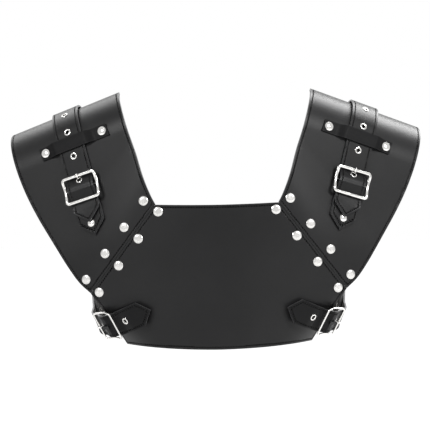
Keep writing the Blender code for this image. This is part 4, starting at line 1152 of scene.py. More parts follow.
def tilted_seat(line, side, t, rise_t):
    """A seat on the strap's underside, square to the strap where it slopes."""
    slope = (strap_height(t + PROBE, rise_t) - strap_height(t - PROBE, rise_t)) / (2 * PROBE)
    top = upright(line(t), side, strap_height(t, rise_t) + STRAP_THICK)
    return top @ Matrix.Rotation(math.atan(slope), 4, "X") @ Matrix.Translation((0, 0, -STRAP_THICK))


def hole_cutter(seat):
    bm = bmesh.new()
    bmesh.ops.create_cone(bm, cap_ends=True, segments=HOLE_SIDES, radius1=HOLE_RADIUS, radius2=HOLE_RADIUS,
                          depth=2 * HOLE_REACH, matrix=seat)
    return from_bmesh("hole", bm)


def cut_straps(kind, skin, rise_t, width, tip, stops, strides, eyelet_ts):
    """Both straps of a kind, with their rows in even strides between the stops."""
    line = LINES[kind]
    ts = [stops[0]]
    for low, high, stride in zip(stops, stops[1:], strides):
        ts += steps(low, high, stride)[1:]
    for word, side in SIDES.items():
        seats = [tilted_seat(line, side, t, rise_t) for t in eyelet_ts]
        eyelet_seats.extend(seats)
        grid = strap_grid(line, ts, rise_t, width, side, tip)
        leather_piece(f"{kind}_strap_leather_{word}", grid, Vector((side, -1, 1)), STRAP_THICK, skin,
                      [f"{kind}_strap_{word}"], cutters=[hole_cutter(seat) for seat in seats])


# %% Cut the shoulder straps
SHOULDER_STRAP_WIDTH = 0.034
SHOULDER_TIP_T = 0.0434
SHOULDER_TIP = 0.0145
SHOULDER_STRIDES = (0.0017, 0.0011, 0.0028)
SHOULDER_EYELETS = 4

cut_straps("shoulder", strap_leather, SHOULDER_RISE_T, SHOULDER_STRAP_WIDTH, SHOULDER_TIP,
           (-SHOULDER_TIP_T, -FRAME_REACH, STRAP_RUN_IN, END_T["shoulder"]), SHOULDER_STRIDES,
           [PRONG_EYELET_T + EYELET_PITCH * i for i in range(SHOULDER_EYELETS)])

# %% Cut the side straps
SIDE_STRAP_WIDTH = 0.030
SIDE_TIP_T = 0.068
SIDE_TIP = 0.0165
SIDE_STRIDES = (0.0018, 0.0011, 0.0026)

cut_straps("side", side_leather_painted_shade, SIDE_RISE_T, SIDE_STRAP_WIDTH, SIDE_TIP,
           (-SIDE_TIP_T, -FRAME_REACH - SIDE_JOIN, STRAP_RUN_IN, END_T["side"]), SIDE_STRIDES,
           (PRONG_EYELET_T, -SIDE_EYELET_T))

# %% [markdown]
# ## Chapes and keepers
# A chape is one strip folded round the centre bar. Its upper layer has a pointed end and is riveted down,
# and a slot in the fold lets the prong out. The grid goes once along the profile of that fold. A keeper
# is a plain strip over the strap, riveted at both ends, with no stitching.

# %% Fold the chapes
CHAPE_REACH = 0.0588
SIDE_CHAPE_REACH = 0.052
CHAPE_UNDER_SHORT = 0.003
CHAPE_RAMP = 0.008
CHAPE_FLARE_T = 0.014
CHAPE_TIP = 0.0145
SIDE_CHAPE_TIP = 0.013
CHAPE_WIDTHS = (0.030, 0.0345)
SIDE_CHAPE_WIDTHS = (0.027, 0.027)
FOLD_START, FOLD_TURN = math.radians(115), math.radians(205)
PRONG_SIDE_GAP = 0.001
CHAPE_COLUMNS = 12
CHAPE_UPPER_STEPS, FOLD_STEPS, CHAPE_UNDER_STEPS = 24, 20, 16


def chape_profile(reach, under):
    """The middle of the leather as (t, height): the upper layer, the fold, the under layer."""
    upper = [i / CHAPE_UPPER_STEPS for i in range(CHAPE_UPPER_STEPS + 1)]
    around = [FOLD_START - FOLD_TURN * i / FOLD_STEPS for i in range(FOLD_STEPS + 1)]
    lower = [i / CHAPE_UNDER_STEPS for i in range(CHAPE_UNDER_STEPS + 1)]
    points = [(mixed(-reach, -CHAPE_RAMP, q), UPPER_HEIGHT) for q in upper]
    points += [(FOLD_RADIUS * math.cos(a), AXIS_HEIGHT + FOLD_RADIUS * math.sin(a)) for a in around]
    points += [(-CHAPE_RAMP / 2, mixed(UNDER_HEIGHT, AXIS_HEIGHT - FOLD_RADIUS, 0.5))]
    return points + [(mixed(-CHAPE_RAMP, -under, q), UNDER_HEIGHT) for q in lower]


def chape_grid(line, side, widths, reach, tip):
    profile = chape_profile(reach, reach - CHAPE_UNDER_SHORT)
    grid = []
    for number, (t, height) in enumerate(profile):
        wide = mixed(*widths, eased((-t - CHAPE_FLARE_T) / CHAPE_FLARE_T))
        start = -reach if number < len(profile) / 2 else CHAPE_UNDER_SHORT - reach
        row = []
        for column in range(CHAPE_COLUMNS + 1):
            share = 2 * column / CHAPE_COLUMNS - 1
            at = pointed(t, start, tip, share)
            row.append(placed(fitted(line(at), at, share * wide / 2, height), side))
        grid.append(row)
    return grid


def prong_slot(line, side):
    bm = bmesh.new()
    bmesh.ops.create_cube(bm, size=1)
    across = 2 * (PRONG_RADIUS + PRONG_SIDE_GAP)
    along = 2 * (HOOK_RADIUS + PRONG_RADIUS + PRONG_SIDE_GAP)
    bm.transform(upright(line(0), side, AXIS_HEIGHT) @ Matrix.Diagonal((across, along, 4 * AXIS_HEIGHT, 1)))
    return from_bmesh("slot", bm)


CHAPES = (("shoulder", shoulder_line, CHAPE_WIDTHS, CHAPE_REACH, CHAPE_TIP),
          ("side", side_line, SIDE_CHAPE_WIDTHS, SIDE_CHAPE_REACH, SIDE_CHAPE_TIP))
for word, side in SIDES.items():
    for kind, line, widths, reach, tip in CHAPES:
        outer = line(-reach)[3] * Vector((side, 1, 1))
        grid = chape_grid(line, side, widths, reach, tip)
        leather_piece(f"{kind}_chape_leather_{word}", grid, outer, CHAPE_THICK, strap_leather,
                      [f"{kind}_chape_{word}"], cutters=[prong_slot(line, side)], offset=0)

# %% Bend the keepers
KEEPER_S = 0.073
KEEPER_U = 0.0707
KEEPER_WIDTH = 0.015
KEEPER_PITCH = 0.0737
KEEPER_END = 0.0065
KEEPER_RAMP = 0.0125
KEEPER_ROOM = 0.0015
KEEPER_LIFT = 0.0012
KEEPER_THICK = 0.0020
KEEPER_STEP = 0.0012
KEEPER_COLUMNS = 8


def keeper_spot(v):
    u = v - KEEPER_U
    ahead = shoulder_base(KEEPER_S, u + PROBE) - shoulder_base(KEEPER_S, u - PROBE)
    return framed(shoulder_base(KEEPER_S, u), ahead, shoulder_normal(KEEPER_S, u))


def keeper_height(v):
    """Flat on the panel at the ends, over the strap between."""
    beside = abs(v - strap_u(KEEPER_S) - KEEPER_U) - SHOULDER_STRAP_WIDTH / 2 - KEEPER_ROOM
    return mixed(STRAP_LIFT + STRAP_THICK + KEEPER_LIFT, REST_GAP, eased(beside / KEEPER_RAMP))


def keeper_grid(side):
    half = KEEPER_PITCH / 2 + KEEPER_END
    grid = []
    for v in steps(-half, half, KEEPER_STEP):
        row = []
        for column in range(KEEPER_COLUMNS + 1):
            s, u = KEEPER_S + (column / KEEPER_COLUMNS - 0.5) * KEEPER_WIDTH, v - KEEPER_U
            rise = shoulder_normal(s, u) * (keeper_height(v) + KEEPER_THICK)
            row.append(placed(shoulder_base(s, u) + rise, side))
        grid.append(row)
    return grid


# The keepers' rims take the matt edge finish, which is painted shade for the shadow under them.
for word, side in SIDES.items():
    leather_piece(f"keeper_leather_{word}", keeper_grid(side), Vector((side, -1, 1)), KEEPER_THICK,
                  plain_leather, [f"keeper_{word}"], stitched=False, rim=matt_edge_painted_shade)

# %% [markdown]
# ## Buckles
# A frame is one closed bar with rounded corners, and its section is a little flattened. It is built of
# oval rings square to its path, because a bevelled curve would twist a flat section in the corners. The
# centre bar is a plain thin rod, so a bevelled curve makes it. The rails dip to that bar and rise to the
# outer bars, because the strap goes under the outer bars and over the middle one.

# %% Bend the buckle frames
FRAME_CORNER = 0.0032
CORNER_STEPS = 9
RAIL_RISE = 0.002
RAIL_STEPS = 12
BAR_SLACK = 0.0014
FRAME_WIDTHS = {"shoulder": 0.0425, "side": 0.036}
FRAME_SECTIONS = {"shoulder": (0.0018, 0.0014), "side": (0.0011, 0.0009)}
BAR_SHORT = 0.001
SECTION_FULLNESS = 0.75
RING_SIDES = 20
WIRE_RESOLUTION = 6
SLANTED_THICK = STRAP_THICK * 1.1
TOP_BAR = strap_height(FRAME_REACH, SHOULDER_RISE_T) + SLANTED_THICK + BAR_SLACK + FRAME_WIRE - AXIS_HEIGHT
LOW_BAR = CHAPE_TOP + REST_GAP + STRAP_THICK + BAR_SLACK + FRAME_WIRE - AXIS_HEIGHT


def rounded_cos(a):
    """A cosine with fuller corners, for a section between an oval and a rounded bar."""
    return math.copysign(abs(math.cos(a)) ** SECTION_FULLNESS, math.cos(a))


def wire(name, points, radius, matrix, radii=None):
    """A round nickel wire through points, as a plain mesh."""
    data = bpy.data.curves.new(name, "CURVE")
    data.dimensions = "3D"
    data.bevel_depth, data.bevel_resolution, data.use_fill_caps = radius, WIRE_RESOLUTION, True
    spline = data.splines.new("POLY")
    spline.points.add(len(points) - 1)
    for number, (point, place) in enumerate(zip(spline.points, points)):
        point.co = (*place, 1)
        point.radius = radii[number] if radii else 1
    data.materials.append(nickel)
    obj = in_scene(name + "_live", data)
    obj.matrix_world = matrix
    return settle(obj, name)


def oval_ring(name, points, half_wide, half_thick, matrix):
    """A closed nickel bar through points near one plane, with an oval section that lies flat in it."""
    bm = bmesh.new()
    turns = [2 * math.pi * i / RING_SIDES for i in range(RING_SIDES)]
    rings = []
    for number, point in enumerate(points):
        place = Vector(point)
        run = Vector(points[(number + 1) % len(points)]) - Vector(points[number - 1])
        beside = run.cross(UP).normalized()
        above = beside.cross(run).normalized()
        section = [(half_wide * rounded_cos(a), half_thick * rounded_cos(a - math.pi / 2)) for a in turns]
        rings.append([bm.verts.new(place + beside * wide + above * high) for wide, high in section])
    for ring_a, ring_b in zip(rings, rings[1:] + rings[:1]):
        for i in range(RING_SIDES):
            j = (i + 1) % RING_SIDES
            bm.faces.new((ring_a[i], ring_a[j], ring_b[j], ring_b[i]))
    bmesh.ops.recalc_face_normals(bm, faces=bm.faces)
    bm.transform(matrix)
    return from_bmesh(name, bm, nickel)


def frame_points(width):
    """The frame's path, once round: four corners with a curved rail after every second one."""
    half = width / 2
    sag = RAIL_RISE - (TOP_BAR + LOW_BAR) / 2
    points = []
    for x, y, first in ((half, FRAME_REACH, 0), (-half, FRAME_REACH, 90), (-half, -FRAME_REACH, 180),
                        (half, -FRAME_REACH, 270)):
        height, far_height = (TOP_BAR, LOW_BAR) if y > 0 else (LOW_BAR, TOP_BAR)
        cx, cy = x - math.copysign(FRAME_CORNER, x), y - math.copysign(FRAME_CORNER, y)
        for step in range(CORNER_STEPS + 1):
            a = math.radians(first + 90 * step / CORNER_STEPS)
            points.append((cx + FRAME_CORNER * math.cos(a), cy + FRAME_CORNER * math.sin(a), height))
        if first in (90, 270):
            for i in range(1, RAIL_STEPS):
                q = i / RAIL_STEPS
                points.append((x, mixed(cy, -cy, q), mixed(height, far_height, q) + sag * 4 * q * (1 - q)))
    return points


def joined(name, pieces):
    """One object from several."""
    bm = bmesh.new()
    for piece in pieces:
        bm.from_mesh(piece.data)
    made = from_bmesh(name, bm, *pieces[0].data.materials)
    for piece in pieces:
        bpy.data.objects.remove(piece, do_unlink=True)
    return made


for word, side in SIDES.items():
    for kind, line in LINES.items():
        seat = upright(line(0), side, AXIS_HEIGHT)
        outer = oval_ring("frame_bar", frame_points(FRAME_WIDTHS[kind]), *FRAME_SECTIONS[kind], seat)
        reach = FRAME_WIDTHS[kind] / 2 - BAR_SHORT
        bar = wire("centre_bar", [(-reach, 0, 0), (reach, 0, 0)], BAR_RADIUS, seat)
        piece = joined(f"{kind}_buckle_frame_{word}", [outer, bar])
        hand_over(piece, f"{kind}_frame_{word}", METAL_SLOT, f"{kind}_buckle_{word}")

# %% [markdown]
# ## Prongs
# Each prong is a wire hooked round the centre bar. It comes up through the strap's eyelet and lies over
# the far bar, where it is drawn out a little thinner. A curve through its bends, with a radius for each
# point, makes it in one piece.

# %% Bend the prongs
PRONG_SHIFT = 0.00045
PRONG_TIP_T = 0.0172
OVER_BAR_GAP = 0.0005
HOOK_DEGREES = (20, 25, 11)
RISE_SHARES = ((0.0, 0.12), (0.58, 0.48))
ARCH_SHARES = (0.54, 0.87)
PRONG_PARTS = 4
TIP_THINNING = 0.35
TIP_STEPS = 8


def prong_stops():
    """The prong's bends from the hook round the bar to its tip, in the plane across the bar."""
    first, step, count = HOOK_DEGREES
    hook = [math.radians(first + step * i) for i in range(count)]
    points = [(0, HOOK_RADIUS * math.cos(a), HOOK_RADIUS * math.sin(a)) for a in hook]
    through = PRONG_EYELET_T + PRONG_SHIFT
    level = strap_height(through, SHOULDER_RISE_T) + STRAP_THICK / 2 - AXIS_HEIGHT
    over = TOP_BAR + FRAME_WIRE + PRONG_RADIUS + OVER_BAR_GAP
    for out, up in RISE_SHARES:
        points.append((0, mixed(HOOK_RADIUS, through, out), mixed(-HOOK_RADIUS, level, up)))
    points.append((0, through, level))
    points.append((0, mixed(through, FRAME_REACH, ARCH_SHARES[0]), mixed(level, over, ARCH_SHARES[1])))
    points += [(0, FRAME_REACH, over), (0, PRONG_TIP_T, over + REST_GAP)]
    return [Vector(p) for p in points]


def curved(points, parts):
    """A smooth curve through points, each stretch in equal parts."""
    made = []
    last = len(points) - 1
    for i in range(last):
        before, a, b, after = points[max(i - 1, 0)], points[i], points[i + 1], points[min(i + 2, last)]
        for step in range(parts):
            q = step / parts
            made.append(0.5 * (2 * a + (b - before) * q + (2 * before - 5 * a + 4 * b - after) * q * q
                               + (3 * a - before - 3 * b + after) * q ** 3))
    return made + [points[-1]]


prong_path = curved(prong_stops(), PRONG_PARTS)
tip_from = len(prong_path) - 1 - TIP_STEPS
prong_radii = [1 - TIP_THINNING * eased((i - tip_from) / TIP_STEPS) for i in range(len(prong_path))]
for word, side in SIDES.items():
    for kind, line in LINES.items():
        seat = upright(line(0), side, AXIS_HEIGHT)
        piece = wire(f"{kind}_prong_wire_{word}", prong_path, PRONG_RADIUS, seat, prong_radii)
        hand_over(piece, f"{kind}_tongue_{word}", METAL_SLOT, f"{kind}_prong_{word}")

# %% [markdown]
# ## Repeated fittings with Geometry Nodes
# Rivets, eyelets and stitches repeat by the dozen or the thousand, so each is a small tree that puts one
# shape on many points. Rivet caps stand on points that carry the direction they face. The crown of a cap
# follows a rule, its height falls with a power of the distance from the middle, so the same tree makes
# the flat caps on the seams and the rounder ones on the keepers.

# %% Helpers for geometry trees
FACING_ATTRIBUTE = "facing"


def geometry_tree(name, sizes):
    tree = bpy.data.node_groups.new(name, "GeometryNodeTree")
    socket(tree, "Geometry", "NodeSocketGeometry")
    for label, value in sizes.items():
        socket(tree, label, "NodeSocketFloat", value=value)
    socket(tree, "Finish", "NodeSocketMaterial")
    socket(tree, "Geometry", "NodeSocketGeometry", "OUTPUT")
    return tree, node(tree, "NodeGroupInput").outputs


def link_chain(tree, source, *chain):
    """Passes geometry through nodes in turn and returns the last output."""
    for made, key in chain:
        tree.links.new(source, made.inputs[key])
        source = made.outputs[0]
    return source


def put_on_points(tree, given, points, shape, rotation):
    """Instances a shape, makes it real, gives it the finish and ends the tree."""
    on = node(tree, "GeometryNodeInstanceOnPoints")
    tree.links.new(points, on.inputs["Points"])
    tree.links.new(shape, on.inputs["Instance"])
    tree.links.new(rotation, on.inputs["Rotation"])
    real = node(tree, "GeometryNodeRealizeInstances")
    coat = node(tree, "GeometryNodeSetMaterial")
    tree.links.new(given["Finish"], coat.inputs["Material"])
    end = node(tree, "NodeGroupOutput")
    done = link_chain(tree, on.outputs[0], (real, "Geometry"), (coat, "Geometry"))
    tree.links.new(done, end.inputs["Geometry"])


def turned_to(tree, vector):
    made = node(tree, "FunctionNodeAlignRotationToVector", axis="Z")
    tree.links.new(vector, made.inputs["Vector"])
    return made.outputs["Rotation"]


def stored_facing(tree):
    made = node(tree, "GeometryNodeInputNamedAttribute", data_type="FLOAT_VECTOR")
    made.inputs["Name"].default_value = FACING_ATTRIBUTE
    return made.outputs["Attribute"]


def grown(name, mesh, tree, sizes, finish_used, slot, replaced=()):
    """Runs a tree on a mesh and keeps the result as a plain piece on the harness."""
    obj = in_scene(name + "_live", mesh)
    modifier = obj.modifiers.new("Tree", "NODES")
    modifier.node_group = tree
    for item in tree.interface.items_tree:
        if item.in_out == "INPUT" and item.name in sizes:
            modifier[item.identifier] = sizes[item.name]
        if item.in_out == "INPUT" and item.name == "Finish":
            modifier[item.identifier] = finish_used
    hand_over(settle(obj, name), ROOT, slot, *replaced)


def seats_mesh(name, seats):
    """One point for each seat, with the seat's Z stored as the way it faces."""
    mesh = bpy.data.meshes.new(name)
    mesh.from_pydata([tuple(seat.translation) for seat in seats], [], [])
    facing_data = mesh.attributes.new(FACING_ATTRIBUTE, "FLOAT_VECTOR", "POINT")
    facing_data.data.foreach_set("vector", [c for seat in seats for c in seat.col[2][:3]])
    return mesh


# %% The cap tree
SEAM_CAP = {"Radius": 0.0056, "Height": CAP_HEIGHT, "Crown": 0.62, "Power": 5.0}
KEEPER_CAP = {"Radius": 0.0053, "Height": CAP_HEIGHT, "Crown": 0.85, "Power": 2.2}
CHAPE_CAP = {"Radius": 0.0046, "Height": CAP_HEIGHT, "Crown": 0.85, "Power": 2.2}
TAIL_CAP = {"Radius": 0.0042, "Height": 0.001, "Crown": 0.5, "Power": 4.0}
CAP_SIDES = 36
CAP_RINGS = 9


def cap_tree():
    tree, given = geometry_tree("Rivet caps", SEAM_CAP)
    disc = node(tree, "GeometryNodeMeshCylinder", fill_type="NGON")
    disc.inputs["Vertices"].default_value = CAP_SIDES
    disc.inputs["Fill Segments"].default_value = CAP_RINGS
    tree.links.new(given["Radius"], disc.inputs["Radius"])
    tree.links.new(given["Height"], disc.inputs["Depth"])
    place = node(tree, "GeometryNodeInputPosition")
    parts = node(tree, "ShaderNodeSeparateXYZ")
    tree.links.new(place.outputs[0], parts.inputs[0])
    flat = node(tree, "ShaderNodeCombineXYZ")
    tree.links.new(parts.outputs["X"], flat.inputs["X"])
    tree.links.new(parts.outputs["Y"], flat.inputs["Y"])
    far = node(tree, "ShaderNodeVectorMath", operation="LENGTH")
    tree.links.new(flat.outputs[0], far.inputs[0])
    share = maths(tree, "DIVIDE", far.outputs["Value"], given["Radius"])
    drop = maths(tree, "MULTIPLY", maths(tree, "POWER", share, given["Power"]), given["Crown"])
    fall = maths(tree, "MULTIPLY", drop, given["Height"])
    upper = maths(tree, "GREATER_THAN", parts.outputs["Z"], 0.0)
    half = maths(tree, "MULTIPLY", given["Height"], 0.5)
    move = maths(tree, "SUBTRACT", half, maths(tree, "MULTIPLY", fall, upper))
    offset = node(tree, "ShaderNodeCombineXYZ")
    tree.links.new(move, offset.inputs["Z"])
    shaped = node(tree, "GeometryNodeSetPosition")
    tree.links.new(offset.outputs[0], shaped.inputs["Offset"])
    cap = link_chain(tree, disc.outputs[0], (shaped, "Geometry"))
    put_on_points(tree, given, given["Geometry"], cap, turned_to(tree, stored_facing(tree)))
    return tree


CAPS = cap_tree()

# %% Set the rivets
TAIL_GAP = 0.0009
SEAM_RIVETS = 4
SEAM_RIVET_FIRST = 0.0046
CHEST_RIVET_LAST = 0.0077
SHOULDER_RIVET_LAST = 0.0104
CHEST_RIVET_OFFSET = 0.0076
SHOULDER_RIVET_OFFSET = 0.014
CHAPE_RIVET_T = {"shoulder": 0.0442, "side": 0.041}
ANCHOR_INSET = 0.014


def seam_seat(side, number, last, offset):
    along = mixed(SEAM_RIVET_FIRST, SEAM_RUN.length - last, number / (SEAM_RIVETS - 1))
    spot = NECK_CORNER + SEAM_ALONG * along + SEAM_UP * offset
    normal = front_normal(*spot)
    return upright(framed(front_base(*spot), UP - normal * UP.dot(normal), normal), side, REST_GAP)


def tail_of(seat, grip):
    """The seat of a rivet's tail, facing the other way."""
    return seat @ Matrix.Translation((0, 0, -grip)) @ Matrix.Rotation(math.pi, 4, "X")


flat_caps, flat_names, tails = [], [], []
round_caps, round_names, small_caps, small_names = [], [], [], []
SEAM_GRIP = PANEL_THICK + BACKING_GAP + BACKING_THICK + REST_GAP + TAIL_GAP
for word, side in SIDES.items():
    for number in range(SEAM_RIVETS):
        flat_caps.append(seam_seat(side, number, CHEST_RIVET_LAST, -CHEST_RIVET_OFFSET))
        flat_names.append(f"chest_rivet_{word}_{number + 1}")
        flat_caps.append(seam_seat(side, number, SHOULDER_RIVET_LAST, SHOULDER_RIVET_OFFSET))
        flat_names.append(f"shoulder_rivet_{word}_{number + 1}")
tails += [tail_of(seat, SEAM_GRIP) for seat in flat_caps]
for word, side in SIDES.items():
    for kind, line in LINES.items():
        stack = STRAP_LIFT + STRAP_THICK + REST_GAP
        flat_caps.append(upright(line(END_T[kind] - ANCHOR_INSET), side, stack))
        flat_names.append(f"{kind}_strap_rivet_{word}")
        tails.append(tail_of(flat_caps[-1], stack + PANEL_THICK + TAIL_GAP))
        small_caps.append(upright(line(-CHAPE_RIVET_T[kind]), side, CHAPE_TOP + REST_GAP))
        small_names.append(f"{kind}_chape_rivet_{word}")
        tails.append(tail_of(small_caps[-1], CHAPE_TOP + REST_GAP + PANEL_THICK + SIDE_BED + TAIL_GAP))
    for end, v in (("inner", -KEEPER_PITCH / 2), ("outer", KEEPER_PITCH / 2)):
        round_caps.append(upright(keeper_spot(v), side, 2 * REST_GAP + KEEPER_THICK))
        round_names.append(f"keeper_rivet_{word}_{end}")
        tails.append(tail_of(round_caps[-1], 2 * REST_GAP + KEEPER_THICK + PANEL_THICK + TAIL_GAP))

RIVETS = (("seam_rivet_caps", flat_caps, SEAM_CAP, rivet_nickel, flat_names),
          ("keeper_rivet_caps", round_caps, KEEPER_CAP, nickel, round_names),
          ("chape_rivet_caps", small_caps, CHAPE_CAP, nickel, small_names),
          ("rivet_tails", tails, TAIL_CAP, rivet_nickel, ()))
for name, seats, sizes, plating, names in RIVETS:
    grown(name, seats_mesh(name + "_seats", seats), CAPS, sizes, plating, METAL_SLOT, names)

# %% [markdown]
# ## Eyelets
# An eyelet is a short tube rolled over at both ends. The tree sweeps three small oval profiles round a
# circle: a flattened one for the rolled flange, which is what shines, a narrower one for the foot behind
# the strap, and a thin upright one for the tube.

# %% The eyelet tree
EYELET_FLANGE = 0.0041
EYELET_BORE = 0.0025
EYELET_WALL = 0.0004
EYELET_RISE = 0.0006
FOOT_SHARE = 0.6
ROUND_STEPS = 40
FLANGE_SIDES, FOOT_SIDES, TUBE_SIDES = 12, 10, 8


def ring(tree, radius, half_width, half_height, lift, sides):
    """A circle swept by an oval profile, lifted along Z."""
    path = node(tree, "GeometryNodeCurvePrimitiveCircle", mode="RADIUS")
    path.inputs["Resolution"].default_value = ROUND_STEPS
    feed(tree, path.inputs["Radius"], radius)
    section = node(tree, "GeometryNodeCurvePrimitiveCircle", mode="RADIUS")
    section.inputs["Resolution"].default_value = sides
    section.inputs["Radius"].default_value = 1
    scale = node(tree, "ShaderNodeCombineXYZ")
    feed(tree, scale.inputs["X"], half_width)
    feed(tree, scale.inputs["Y"], half_height)
    scale.inputs["Z"].default_value = 1
    oval = node(tree, "GeometryNodeTransform")
    tree.links.new(section.outputs["Curve"], oval.inputs["Geometry"])
    tree.links.new(scale.outputs[0], oval.inputs["Scale"])
    sweep = node(tree, "GeometryNodeCurveToMesh")
    tree.links.new(path.outputs["Curve"], sweep.inputs["Curve"])
    tree.links.new(oval.outputs[0], sweep.inputs["Profile Curve"])
    raised = node(tree, "GeometryNodeTransform")
    tree.links.new(sweep.outputs[0], raised.inputs["Geometry"])
    up = node(tree, "ShaderNodeCombineXYZ")
    feed(tree, up.inputs["Z"], lift)
    tree.links.new(up.outputs[0], raised.inputs["Translation"])
    return raised.outputs[0]


def eyelet_tree():
    sizes = {"Flange radius": EYELET_FLANGE, "Bore radius": EYELET_BORE, "Wall": EYELET_WALL,
             "Rise": EYELET_RISE, "Strap": STRAP_THICK}
    tree, given = geometry_tree("Eyelets", sizes)
    middle = maths(tree, "MULTIPLY", maths(tree, "ADD", given["Flange radius"], given["Bore radius"]), 0.5)
    half = maths(tree, "MULTIPLY", maths(tree, "SUBTRACT", given["Flange radius"], given["Bore radius"]), 0.5)
    half_rise = maths(tree, "MULTIPLY", given["Rise"], 0.5)
    half_strap = maths(tree, "MULTIPLY", given["Strap"], 0.5)
    half_wall = maths(tree, "MULTIPLY", given["Wall"], 0.5)
    top = maths(tree, "ADD", given["Strap"], half_rise)
    flange = ring(tree, middle, half, half_rise, top, FLANGE_SIDES)
    foot_half = maths(tree, "MULTIPLY", half, FOOT_SHARE)
    foot = ring(tree, middle, foot_half, half_rise, maths(tree, "MULTIPLY", half_rise, -1.0), FOOT_SIDES)
    tube_radius = maths(tree, "ADD", given["Bore radius"], half_wall)
    tube_half = maths(tree, "ADD", half_strap, half_rise)
    tube = ring(tree, tube_radius, half_wall, tube_half, half_strap, TUBE_SIDES)
    both = node(tree, "GeometryNodeJoinGeometry")
    for part in (flange, foot, tube):
        tree.links.new(part, both.inputs[0])
    put_on_points(tree, given, given["Geometry"], both.outputs[0], turned_to(tree, stored_facing(tree)))
    return tree


eyelet_nodes = []
for word in SIDES:
    for kind in LINES:
        eyelet_nodes += [f"{kind}_prong_eyelet_{word}", f"{kind}_eyelet_{word}"]
grown("strap_eyelets", seats_mesh("eyelet_seats", eyelet_seats), eyelet_tree(), {}, nickel, METAL_SLOT,
      eyelet_nodes)

# %% [markdown]
# ## Stitching
# The paths in the pressed channels were kept while the leather was cut. The tree turns them into curves,
# walks along them with an even pitch and lays one short thread on each step, turned along the path.

# %% Sew the edges
STITCH_PITCH = 0.0031
STITCH_LENGTH = 0.0022
STITCH_WIDTH = 0.0007
STITCH_SIDES, STITCH_RINGS = 6, 5


def stitch_tree():
    sizes = {"Pitch": STITCH_PITCH, "Length": STITCH_LENGTH, "Width": STITCH_WIDTH}
    tree, given = geometry_tree("Stitches", sizes)
    path = node(tree, "GeometryNodeMeshToCurve")
    even = node(tree, "GeometryNodeResampleCurve", mode="LENGTH")
    tree.links.new(given["Pitch"], even.inputs["Length"])
    points = link_chain(tree, given["Geometry"], (path, "Mesh"), (even, "Curve"))
    lump = node(tree, "GeometryNodeMeshUVSphere")
    lump.inputs["Segments"].default_value = STITCH_SIDES
    lump.inputs["Rings"].default_value = STITCH_RINGS
    lump.inputs["Radius"].default_value = 0.5
    size = node(tree, "ShaderNodeCombineXYZ")
    for key, label in (("X", "Width"), ("Y", "Width"), ("Z", "Length")):
        tree.links.new(given[label], size.inputs[key])
    thin = node(tree, "GeometryNodeTransform")
    tree.links.new(lump.outputs[0], thin.inputs["Geometry"])
    tree.links.new(size.outputs[0], thin.inputs["Scale"])
    tangent = node(tree, "GeometryNodeInputTangent")
    put_on_points(tree, given, points, thin.outputs[0], turned_to(tree, tangent.outputs[0]))
    return tree


path_points, path_edges = [], []
for points, edges in stitch_paths:
    start = len(path_points)
    path_points += points
    path_edges += [(a + start, b + start) for a, b in edges]
path_mesh = bpy.data.meshes.new("stitch_path")
path_mesh.from_pydata(path_points, path_edges, [])
grown("stitching", path_mesh, stitch_tree(), {}, thread, LEATHER_SLOT)

# %% [markdown]
# ## Floor, light and sky
# The photograph has a pure white ground. Black leather shows what it reflects, so the white world is what
# gives it its grey. Each side has a wide lamp above and behind, which the ridge of the shoulder mirrors,
# the right one stronger, and a small box in front, which gives the middle of the shoulder panel its glow.
# The floor glows only far from the object, so that it is white there and still takes the shadow.

# %% Floor and world
FLOOR_Z = -0.62
FLOOR_RADIUS = 30
FLOOR_SIDES = 64
FLOOR_LOW, FLOOR_HIGH = (0.72, 0.72, 0.72), (0.76, 0.76, 0.76)
GLOW_FROM, GLOW_FULL = 1.1, 2.1
GLOW_LEVEL = 0.74
WORLD_LEVEL = 0.4


def white_for_views(tree):
    """1 where the ray is a camera, glossy or transmission ray."""
    path = node(tree, "ShaderNodeLightPath")
    first = maths(tree, "MAXIMUM", path.outputs["Is Camera Ray"], path.outputs["Is Glossy Ray"])
    return maths(tree, "MAXIMUM", first, path.outputs["Is Transmission Ray"])


world = bpy.data.worlds.new("white_room")
world.use_nodes = True
bpy.context.scene.world = world
sky = world.node_tree.nodes["Background"]
sky.inputs["Color"].default_value = (1, 1, 1, 1)
feed(world.node_tree, sky.inputs["Strength"],
     maths(world.node_tree, "MULTIPLY_ADD", white_for_views(world.node_tree), 1 - WORLD_LEVEL, WORLD_LEVEL))


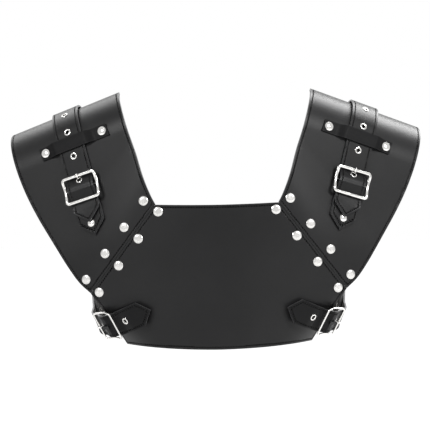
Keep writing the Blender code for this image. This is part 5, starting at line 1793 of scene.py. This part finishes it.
def floor_finish():
    """Paper white, with a glow that starts away from the middle."""
    made, tree, shader = finish("floor_white")
    place = object_place(tree)
    paper = noise(tree, place, 40, 2)
    feed(tree, shader.inputs["Base Color"], tones(tree, paper, (*FLOOR_LOW, 1), (*FLOOR_HIGH, 1)))
    shader.inputs["Roughness"].default_value = 0.9
    shader.inputs["Specular IOR Level"].default_value = 0.1
    reach = node(tree, "ShaderNodeVectorMath", operation="LENGTH")
    feed(tree, reach.inputs[0], place)
    far_glow = ramp(tree, reach.outputs["Value"], GLOW_FROM, GLOW_FULL, 0.0, GLOW_LEVEL)
    glow = node(tree, "ShaderNodeEmission")
    feed(tree, glow.inputs["Strength"], maths(tree, "MULTIPLY", white_for_views(tree), far_glow))
    both = node(tree, "ShaderNodeAddShader")
    tree.links.new(shader.outputs[0], both.inputs[0])
    tree.links.new(glow.outputs[0], both.inputs[1])
    tree.links.new(both.outputs[0], tree.nodes["Material Output"].inputs["Surface"])
    return made


bm = bmesh.new()
bmesh.ops.create_circle(bm, cap_ends=True, segments=FLOOR_SIDES, radius=FLOOR_RADIUS,
                        matrix=Matrix.Translation((0, 0, FLOOR_Z)))
from_bmesh("floor", bm, floor_finish())

# %% Lamps
OVERHEAD = {"left": (0.66, 22), "right": (0.92, 70)}
OVERHEAD_BACK, OVERHEAD_UP = 0.7, 1.4
OVERHEAD_SIZE = (0.9, 1.8)
SHOULDER_TOP = Vector((0.17, -0.05, -0.05))
FRONT_WATTS = {"left": 40, "right": 54}
FRONT_BOX = Vector((1.49, -1.76, 0.91))
FRONT_SIZE = (0.7, 0.6)
SHOULDER_MIDDLE = Vector((0.15, -0.05, -0.1))


def soft_lamp(name, place, target, size, watts):
    data = bpy.data.lights.new(name, "AREA")
    data.shape, data.energy = "RECTANGLE", watts
    data.size, data.size_y = size
    lamp = in_scene(name, data)
    lamp.location = place
    lamp.rotation_euler = (target - place).to_track_quat("-Z", "Y").to_euler()
    lamp.visible_camera = False


for word, side in SIDES.items():
    flip = Vector((side, 1, 1))
    reach_out, watts = OVERHEAD[word]
    above = Vector((side * reach_out, OVERHEAD_BACK, OVERHEAD_UP))
    soft_lamp(f"overhead_{word}", above, SHOULDER_TOP * flip, OVERHEAD_SIZE, watts)
    soft_lamp(f"front_box_{word}", FRONT_BOX * flip, SHOULDER_MIDDLE * flip, FRONT_SIZE, FRONT_WATTS[word])
bpy.context.scene.view_settings.view_transform = "Standard"
